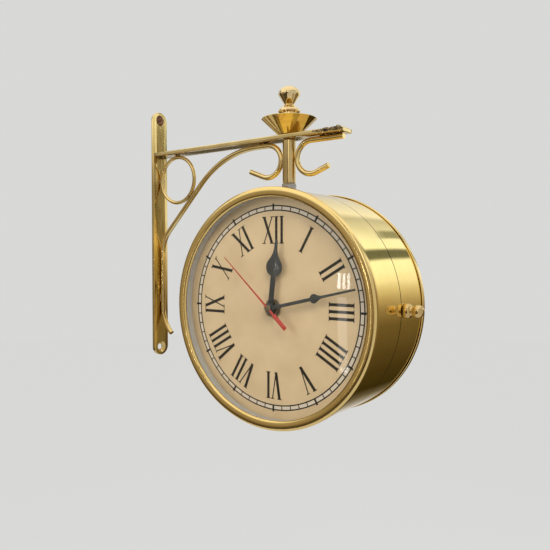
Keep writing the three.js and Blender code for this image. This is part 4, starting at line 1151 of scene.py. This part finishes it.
# ---------------------------------------------------------------------------------------------
# Liners: satin grey rings that stand between glass and dial and hide the inside of the case.
# They are rolled from brushed strip, with rounded edges.
liner_low, liner_high = corners("front_liner")
LINER_INNER = 77.6 * MM
LINER_ROUND = 0.4 * MM
liner_outer = (liner_high.x - liner_low.x) / 2
liner = turned([
    (LINER_INNER, liner_low.y + LINER_ROUND),
    (LINER_INNER + LINER_ROUND, liner_low.y),
    (liner_outer, liner_low.y),
    (liner_outer, liner_high.y),
    (LINER_INNER + LINER_ROUND, liner_high.y),
    (LINER_INNER, liner_high.y - LINER_ROUND),
    (LINER_INNER, liner_low.y + LINER_ROUND),
], drum_axis, "Y", 160)
smooth(liner, 40)
satin_grey = grained_finish("satin_grey_liner", dark=(0.38, 0.37, 0.35), light=(0.47, 0.46, 0.435),
                            roughness=(0.30, 0.48), grain=((6, 60, 6), 30, 5),
                            relief=(0.15, 0.03 * MM), metallic=0.3)
dress_pair(liner, "satin_{}_liner", satin_grey, "{}_liner")


# ---------------------------------------------------------------------------------------------
# Dials: thin metal discs with a matt cream print, slightly mottled, with a paler minute track.
# Their backs are bare.
dial_low, dial_high = corners("front_dial")
TRACK_INNER = 68.3 * MM
TRACK_OUTER = 71.4 * MM
DIAL_HOLE = 4.2 * MM
TRACK_CREAM = (0.60, 0.50, 0.37, 1)
BARE_METAL = (0.42, 0.41, 0.39, 1)
dial_radius = (dial_high.x - dial_low.x) / 2
dial = turned([
    (DIAL_HOLE, dial_high.y),
    (DIAL_HOLE, dial_low.y),
    *[(DIAL_HOLE + (dial_radius - DIAL_HOLE) * step / 8, dial_low.y) for step in range(1, 9)],
    (dial_radius, dial_high.y),
    (DIAL_HOLE, dial_high.y),
], drum_axis, "Y", 160)
smooth(dial, 30)
cream_print, tree, shader = blank_finish("cream_dial_print", (0.60, 0.44, 0.25), roughness=0.62)
paper = object_grain(tree, EVEN, 55, 8)
mottled = two_tone(tree, paper, (0.53, 0.375, 0.20), (0.59, 0.425, 0.235))
flat_spot = reckon_vector(tree, "MULTIPLY",
                          reckon_vector(tree, "SUBTRACT", coordinates(tree), drum_axis), (1, 0, 1))
from_track = reckon(tree, "SUBTRACT", reckon_vector(tree, "LENGTH", flat_spot),
                    (TRACK_INNER + TRACK_OUTER) / 2)
on_track = reckon(tree, "LESS_THAN", reckon(tree, "ABSOLUTE", from_track),
                  (TRACK_OUTER - TRACK_INNER) / 2)
print_side = (dial_low.y + dial_high.y) / 2
on_print = reckon(tree, "GREATER_THAN", off_seam(tree), seam_y - print_side)
printed = mix_colours(tree, on_track, mottled, TRACK_CREAM)
feed(tree, shader.inputs["Base Color"], mix_colours(tree, on_print, BARE_METAL, printed))
scratches(tree, shader, paper, 0.05, 0.05 * MM)
dress_pair(dial, "printed_{}_dial", cream_print, "{}_dial")


# ---------------------------------------------------------------------------------------------
# Dial printing: black roman numerals that stand radially, four as IIII, inside a railway track
# of sixty cells with longer strokes at the hours. The ink stands a hair above the dial.
NUMERALS = ["XII", "I", "II", "III", "IIII", "V", "VI", "VII", "VIII", "IX", "X", "XI"]
NUMERAL_FOOT = 45 * MM
NUMERAL_HEAD = 64 * MM
THICK = 2.05 * MM
THIN = 0.8 * MM
SLOPED = 1.1
SERIF = 0.6 * MM
SERIF_REACH = 1.25 * MM
LETTER_WIDTHS = {"I": 4.6 * MM, "V": 8.6 * MM, "X": 9.6 * MM}
INK = 0.04 * MM
TRACK_LINE = 0.85 * MM
MINUTE_STROKE = 0.75 * MM
HOUR_STROKE = 1.5 * MM
HOUR_STROKE_OVER = 1.5 * MM
ink_y = dial_low.y - INK


def ink_stroke(foot_x, head_x, foot_z, head_z, width):
    """A flat stroke with level ends: a square is sized, and its head is moved across."""
    middle = (foot_x, 0, (foot_z + head_z) / 2)
    bpy.ops.mesh.primitive_plane_add(size=1, location=middle, rotation=ALONG["Y"])
    stroke = bpy.context.object
    stroke.scale = (width, head_z - foot_z, 1)
    apply_place(stroke)
    pull(stroke, lambda z: z > middle[2], (head_x - foot_x, 0, 0))
    return stroke


def ink_letter(letter, left):
    """One letter of a numeral, from its left edge: its stems, and serifs at their ends."""
    width = LETTER_WIDTHS[letter]
    middle = left + width / 2
    near = left + SERIF_REACH
    far = left + width - SERIF_REACH
    stems = {
        "I": [(middle, middle, THICK)],
        "V": [(middle, near, THICK * SLOPED), (middle, far, THIN * SLOPED)],
        "X": [(far, near, THICK * SLOPED), (near, far, THIN * SLOPED)],
    }[letter]
    strokes = [ink_stroke(foot_x, head_x, NUMERAL_FOOT, NUMERAL_HEAD, thick)
               for foot_x, head_x, thick in stems]
    for foot_x, head_x, thick in stems:
        serif = 2 * SERIF_REACH + thick / 2
        strokes.append(ink_stroke(head_x, head_x, NUMERAL_HEAD - SERIF, NUMERAL_HEAD, serif))
        if letter != "V":
            strokes.append(ink_stroke(foot_x, foot_x, NUMERAL_FOOT, NUMERAL_FOOT + SERIF, serif))
    return strokes


def join(pieces):
    select_only(*pieces)
    bpy.ops.object.join()
    return bpy.context.object


def turn_to_hour(piece, share):
    """Clockwise as seen from the front, by a share of the whole turn, and set on the dial."""
    piece.matrix_world = (Matrix.Translation((drum_x, ink_y, drum_z))
                          @ Matrix.Rotation(2 * math.pi * share, 4, "Y") @ piece.matrix_world)
    apply_place(piece)
    return piece


def flat_ring(inner, outer):
    bpy.ops.mesh.primitive_circle_add(vertices=240, radius=outer, fill_type="NGON",
                                      rotation=ALONG["Y"])
    band = bpy.context.object
    apply_place(band)
    bpy.ops.object.mode_set(mode="EDIT")
    bpy.ops.mesh.select_all(action="SELECT")
    bpy.ops.mesh.inset(thickness=outer - inner)
    bpy.ops.mesh.delete(type="FACE")
    bpy.ops.object.mode_set(mode="OBJECT")
    return turn_to_hour(band, 0)


printing = []
for hour, numeral in enumerate(NUMERALS):
    left = -sum(LETTER_WIDTHS[letter] for letter in numeral) / 2
    letters = []
    for letter in numeral:
        letters += ink_letter(letter, left)
        left += LETTER_WIDTHS[letter]
    printing.append(turn_to_hour(join(letters), hour / 12))
for minute in range(60):
    over, width = (HOUR_STROKE_OVER, HOUR_STROKE) if minute % 5 == 0 else (0, MINUTE_STROKE)
    stroke = ink_stroke(0, 0, TRACK_INNER, TRACK_OUTER + over, width)
    printing.append(turn_to_hour(stroke, minute / 60))
for track in (TRACK_INNER, TRACK_OUTER):
    printing.append(flat_ring(track - TRACK_LINE / 2, track + TRACK_LINE / 2))
dial_print = join(printing)
thicken = dial_print.modifiers.new("ink", "SOLIDIFY")
thicken.thickness = INK
thicken.offset = 0
bpy.ops.object.modifier_apply(modifier=thicken.name)
black_ink = grained_finish("black_dial_ink", dark=(0.006, 0.005, 0.004),
                           light=(0.024, 0.018, 0.012), roughness=(0.45, 0.7), grain=(EVEN, 300, 6))
black_ink.node_tree.nodes["Principled BSDF"].inputs["Specular IOR Level"].default_value = 0.2
dress_pair(dial_print, "{}_dial_numerals", black_ink)


# ---------------------------------------------------------------------------------------------
# Hands: stamped from thin metal and lacquered black, the seconds hand red. The hour hand has a
# round spade, the minute hand a small one, and the seconds hand a broad tail and a brass boss.
HAND_EDGE = 0.12 * MM
SPADE_SHOULDER = 42
SPADE_POINT = 2.1
SHOWN_SECONDS = 12 * 60 + 52
HOUR_SHARE = SHOWN_SECONDS / (12 * 3600)
MINUTE_SHARE = SHOWN_SECONDS / 3600
SECOND_SHARE = (SHOWN_SECONDS % 60) / 60


def mirrored(side):
    """A right-hand outline from the foot up, closed by its own mirror image."""
    return side + [(-x, z) for x, z in reversed(side)]


def stamped(outline, low_y, high_y, bore, share):
    """An outline filled, given its thickness, drilled if it has a bore, and turned clockwise by
    its share of a whole turn, in its place over the dial."""
    blade = walked(standing(outline))
    bpy.ops.mesh.select_all(action="SELECT")
    bpy.ops.mesh.remove_doubles(threshold=0.005 * MM)
    bpy.ops.mesh.edge_face_add()
    bpy.ops.mesh.select_all(action="SELECT")
    bpy.ops.mesh.extrude_region_move(TRANSFORM_OT_translate={"value": (0, high_y - low_y, 0)})
    bpy.ops.object.mode_set(mode="OBJECT")
    mend_normals(blade)
    if bore:
        drill(blade, bore, (0, 0, 0), "Y")
    soften_edges(blade, HAND_EDGE, 2)
    blade.matrix_world = (Matrix.Translation((drum_x, low_y, drum_z))
                          @ Matrix.Rotation(2 * math.pi * share, 4, "Y"))
    smooth(blade, 40)
    return blade


def spade_side(hub, stalk, spade, reach, length, tip):
    """The right-hand side of a hand, from below its hub, up its stalk and its spade to its tip."""
    hub_meet = math.degrees(math.asin(stalk / hub))
    spade_meet = math.degrees(math.asin(stalk / spade))
    side = arc((0, 0), hub, -90, 90 - hub_meet, 14)
    side += arc((0, reach), spade, -90 + spade_meet, SPADE_SHOULDER, 14)
    shoulder_x, shoulder_z = side[-1]
    point_z = reach + SPADE_POINT * spade
    for share in [step / 8 for step in range(1, 9)]:
        side.append((tip + (shoulder_x - tip) * (1 - share) ** 2,
                     shoulder_z + (point_z - shoulder_z) * share))
    side.append((tip * 0.8, length))
    return side


# For each hand its hub, stalk, spade, reach of the spade, length and tip, and then its bore.
HANDS = (
    ("hour", (4.2, 2.1, 6.7, 29, 48, 1.2), 2.8, HOUR_SHARE),
    ("minute", (3.6, 1.2, 3.2, 37.5, 69, 0.9), 1.9, MINUTE_SHARE),
)
black_lacquer = grained_finish("black_hand_lacquer", dark=(0.014, 0.016, 0.016),
                               light=(0.034, 0.036, 0.035), roughness=(0.28, 0.46),
                               grain=(EVEN, 700, 4), relief=(0.15, 0.02 * MM))
black_lacquer.node_tree.nodes["Principled BSDF"].inputs["Coat Weight"].default_value = 0.3
for hand, sizes, bore, share in HANDS:
    low, high = corners(f"front_{hand}_hand")
    side = spade_side(*[size * MM for size in sizes])
    blade = stamped(mirrored(side), low.y, high.y, bore * MM, share)
    dress_pair(blade, "stamped_{}_" + hand + "_hand", black_lacquer,
               "{}_" + hand + "_hand", "{}_" + hand)

second_low, second_high = corners("front_second_hand")
SECOND_THICKNESS = 0.5 * MM
NEEDLE = 0.4 * MM
NEEDLE_FOOT = 0.8 * MM
TAIL_START = 7 * MM
TAIL_END = 20 * MM
TAIL_HALF = 1.6 * MM
BOSS_RADIUS = 2.3 * MM
BOSS_DOME = 0.3 * MM
BOSS_EDGE = 0.1 * MM
NEEDLE_SINK = 0.15 * MM
NEEDLE_REACH = 53 * MM
second_side = [
    (TAIL_HALF, -TAIL_END),
    (TAIL_HALF, -TAIL_START),
    (NEEDLE_FOOT, -TAIL_START + 0.6 * MM),
    (NEEDLE_FOOT, 0),
    (NEEDLE * 0.6, NEEDLE_REACH),
]
needle_low = second_low.y + NEEDLE_SINK
needle = stamped(mirrored(second_side), needle_low, needle_low + SECOND_THICKNESS, 0, SECOND_SHARE)
red_lacquer = grained_finish("red_hand_lacquer", dark=(0.33, 0.025, 0.018),
                             light=(0.50, 0.05, 0.03), roughness=(0.26, 0.42),
                             grain=(EVEN, 700, 4), relief=(0.12, 0.02 * MM))
dress_pair(needle, "stamped_{}_second_hand", red_lacquer, "{}_second_hand",
           "{}_second")


def domed(radius, start, height):
    """The profile of a low dome, from beside its top out to its full radius."""
    return [(radius * math.sin(angle), start + height * (1 - math.cos(angle)))
            for angle in map(math.radians, range(15, 91, 15))]


boss = turned([
    (0, second_low.y),
    *domed(BOSS_RADIUS, second_low.y, BOSS_DOME),
    (BOSS_RADIUS, second_high.y - BOSS_EDGE),
    (BOSS_RADIUS - BOSS_EDGE, second_high.y),
    (0, second_high.y),
], drum_axis, "Y", 48)
smooth(boss, 40)
boss_brass = lathe_brass("boss_brass", "Y", drum_axis, 4000, light=(0.42, 0.38, 0.30),
                         dark=(0.26, 0.22, 0.16))
dress_pair(boss, "turned_{}_second_boss", boss_brass, body="{}_second")


# ---------------------------------------------------------------------------------------------
# Pull knob: turned brass, with a stout foot, a groove and a ball. A slotted steel screw holds
# it from inside the rear half.
KNOB_FOOT_RADIUS = 4.9 * MM
KNOB_FOOT_LENGTH = 4.6 * MM
KNOB_GROOVE_RADIUS = 3.2 * MM
KNOB_BALL_RADIUS = 4.3 * MM
knob_axis = Vector((0, knob_middle.y, drum_z))
ball_x = knob_high.x - KNOB_BALL_RADIUS
meeting = math.degrees(math.asin(KNOB_GROOVE_RADIUS / KNOB_BALL_RADIUS))
ball_angles = [math.radians(meeting + (180 - meeting) * step / 24) for step in range(25)]
knob_ball = [(KNOB_BALL_RADIUS * math.sin(angle), ball_x - KNOB_BALL_RADIUS * math.cos(angle))
             for angle in ball_angles]
foot_end = knob_low.x + KNOB_FOOT_LENGTH
knob = turned([
    (0, knob_low.x),
    (KNOB_FOOT_RADIUS - 0.5 * MM, knob_low.x),
    (KNOB_FOOT_RADIUS - 0.1 * MM, knob_low.x + 0.5 * MM),
    (KNOB_FOOT_RADIUS, knob_low.x + 1.4 * MM),
    (KNOB_FOOT_RADIUS, foot_end - 1.6 * MM),
    (KNOB_FOOT_RADIUS - 0.2 * MM, foot_end - 0.9 * MM),
    (KNOB_FOOT_RADIUS - 0.8 * MM, foot_end - 0.3 * MM),
    (KNOB_GROOVE_RADIUS + 0.2 * MM, foot_end),
    (KNOB_GROOVE_RADIUS, foot_end + 0.4 * MM),
    *knob_ball,
], knob_axis, "X", 64)
smooth(knob, 40)
knob_brass = lathe_brass("turned_knob_brass", "X", knob_axis, 3000, light=(0.74, 0.53, 0.24),
                         dark=(0.50, 0.33, 0.13), roughness=(0.04, 0.10))
dress(knob, "turned_pull_knob", "rear_half", knob_brass, ("pull_knob",))

head_low, head_high = corners("knob_screw")
PIN_RADIUS = 1.25 * MM
HEAD_HEIGHT = 1.6 * MM
HEAD_DOME = 0.9 * MM
KNOB_SLOT_DEPTH = 1.2 * MM
KNOB_SLOT_WIDTH = 0.8 * MM
screw_radius = (head_high.z - head_low.z) / 2
knob_screw = turned([
    (0, head_low.x),
    *domed(screw_radius, head_low.x, HEAD_DOME),
    (screw_radius, head_low.x + HEAD_HEIGHT),
    (PIN_RADIUS, head_low.x + HEAD_HEIGHT),
    (PIN_RADIUS, head_high.x),
    (0, head_high.x),
], knob_axis, "X", 40)
bpy.ops.mesh.primitive_cube_add(size=1, location=(head_low.x, knob_middle.y, drum_z),
                                scale=(KNOB_SLOT_DEPTH, KNOB_SLOT_WIDTH, 4 * screw_radius))
carve(knob_screw, bpy.context.object)
smooth(knob_screw, 35)
dress(knob_screw, "slotted_knob_screw", "rear_half", machined_steel, ("knob_screw",))


# ---------------------------------------------------------------------------------------------
# Hinge: two brass leaves rolled to the case on the wall side, one fixed to each half, with
# knuckles bored for a headed steel pin.
def worked_copy(node, edge, degrees=30):
    """A joined-up copy of a CAD piece with its edges broken, as after deburring."""
    copy = copied(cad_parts[node])
    mend_normals(copy)
    soften_edges(copy, edge, 2, degrees)
    smooth(copy, degrees)
    return copy


for side, half in SIDES:
    leaf = worked_copy("hinge_leaf_" + side, 0.12 * MM, 40)
    dress(leaf, "rolled_hinge_leaf_" + side, half, bar_brass,
          ("hinge_leaf_" + side,))
pin = worked_copy("hinge_pin", 0.1 * MM, 50)
dress(pin, "headed_hinge_pin", "bracket", machined_steel, ("hinge_pin",))


# ---------------------------------------------------------------------------------------------
# Movements: black moulded boxes with a grey cover, a cell in the bay, white moulded wheels and
# a setting knob. They show when the rear half is swung open.
def moulded(name, dark, light, roughness):
    return grained_finish(name, dark, light, roughness=(roughness - 0.08, roughness + 0.08),
                          grain=(EVEN, 220, 6), relief=(0.25, 0.05 * MM))


black_box = moulded("black_moulding", (0.012, 0.012, 0.013), (0.03, 0.03, 0.031), 0.5)
grey_cover = moulded("grey_moulding", (0.20, 0.20, 0.19), (0.27, 0.27, 0.26), 0.45)
white_wheel = moulded("white_moulding", (0.62, 0.61, 0.57), (0.74, 0.73, 0.69), 0.35)
dull_brass = polished_brass("dull_nut_brass", (6, 6, 6), light=(0.36, 0.30, 0.20),
                            dark=(0.22, 0.17, 0.10), roughness=(0.25, 0.40))
sleeve = moulded("cell_sleeve_print", (0.02, 0.05, 0.10), (0.04, 0.09, 0.16), 0.3)

# Each row has the part, its slot, its finish, how far its edges are broken in millimetres, and
# the wheel it turns with, where it turns.
MOVEMENT_PARTS = (
    ("movement_case", "black_plastic", black_box, 0.3, None),
    ("movement_cover", "grey_plastic", grey_cover, 0.2, None),
    ("battery", "cell_sleeve", sleeve, 0.4, None),
    ("set_knob", "white_plastic", white_wheel, 0.2, "setting"),
    ("hour_wheel", "white_plastic", white_wheel, 0.15, "hour"),
    ("minute_wheel", "white_plastic", white_wheel, 0.15, "minute"),
    ("second_wheel", "white_plastic", white_wheel, 0.15, "second"),
    ("dial_ring", "polished_brass", barrel_brass, 0.3, None),
    ("dial_nut", "polished_brass", dull_brass, 0.15, None),
    ("dial_washer", "bright_steel", machined_steel, 0.1, None),
)
for side, half in SIDES:
    for part, slot, material, edge, moving in MOVEMENT_PARTS:
        copy = worked_copy(f"{side}_{part}", edge * MM, 40 if part == "movement_case" else 50)
        body = f"{side}_{moving}" if moving else half
        dress(copy, f"finished_{side}_{part}", body, material, (f"{side}_{part}",))
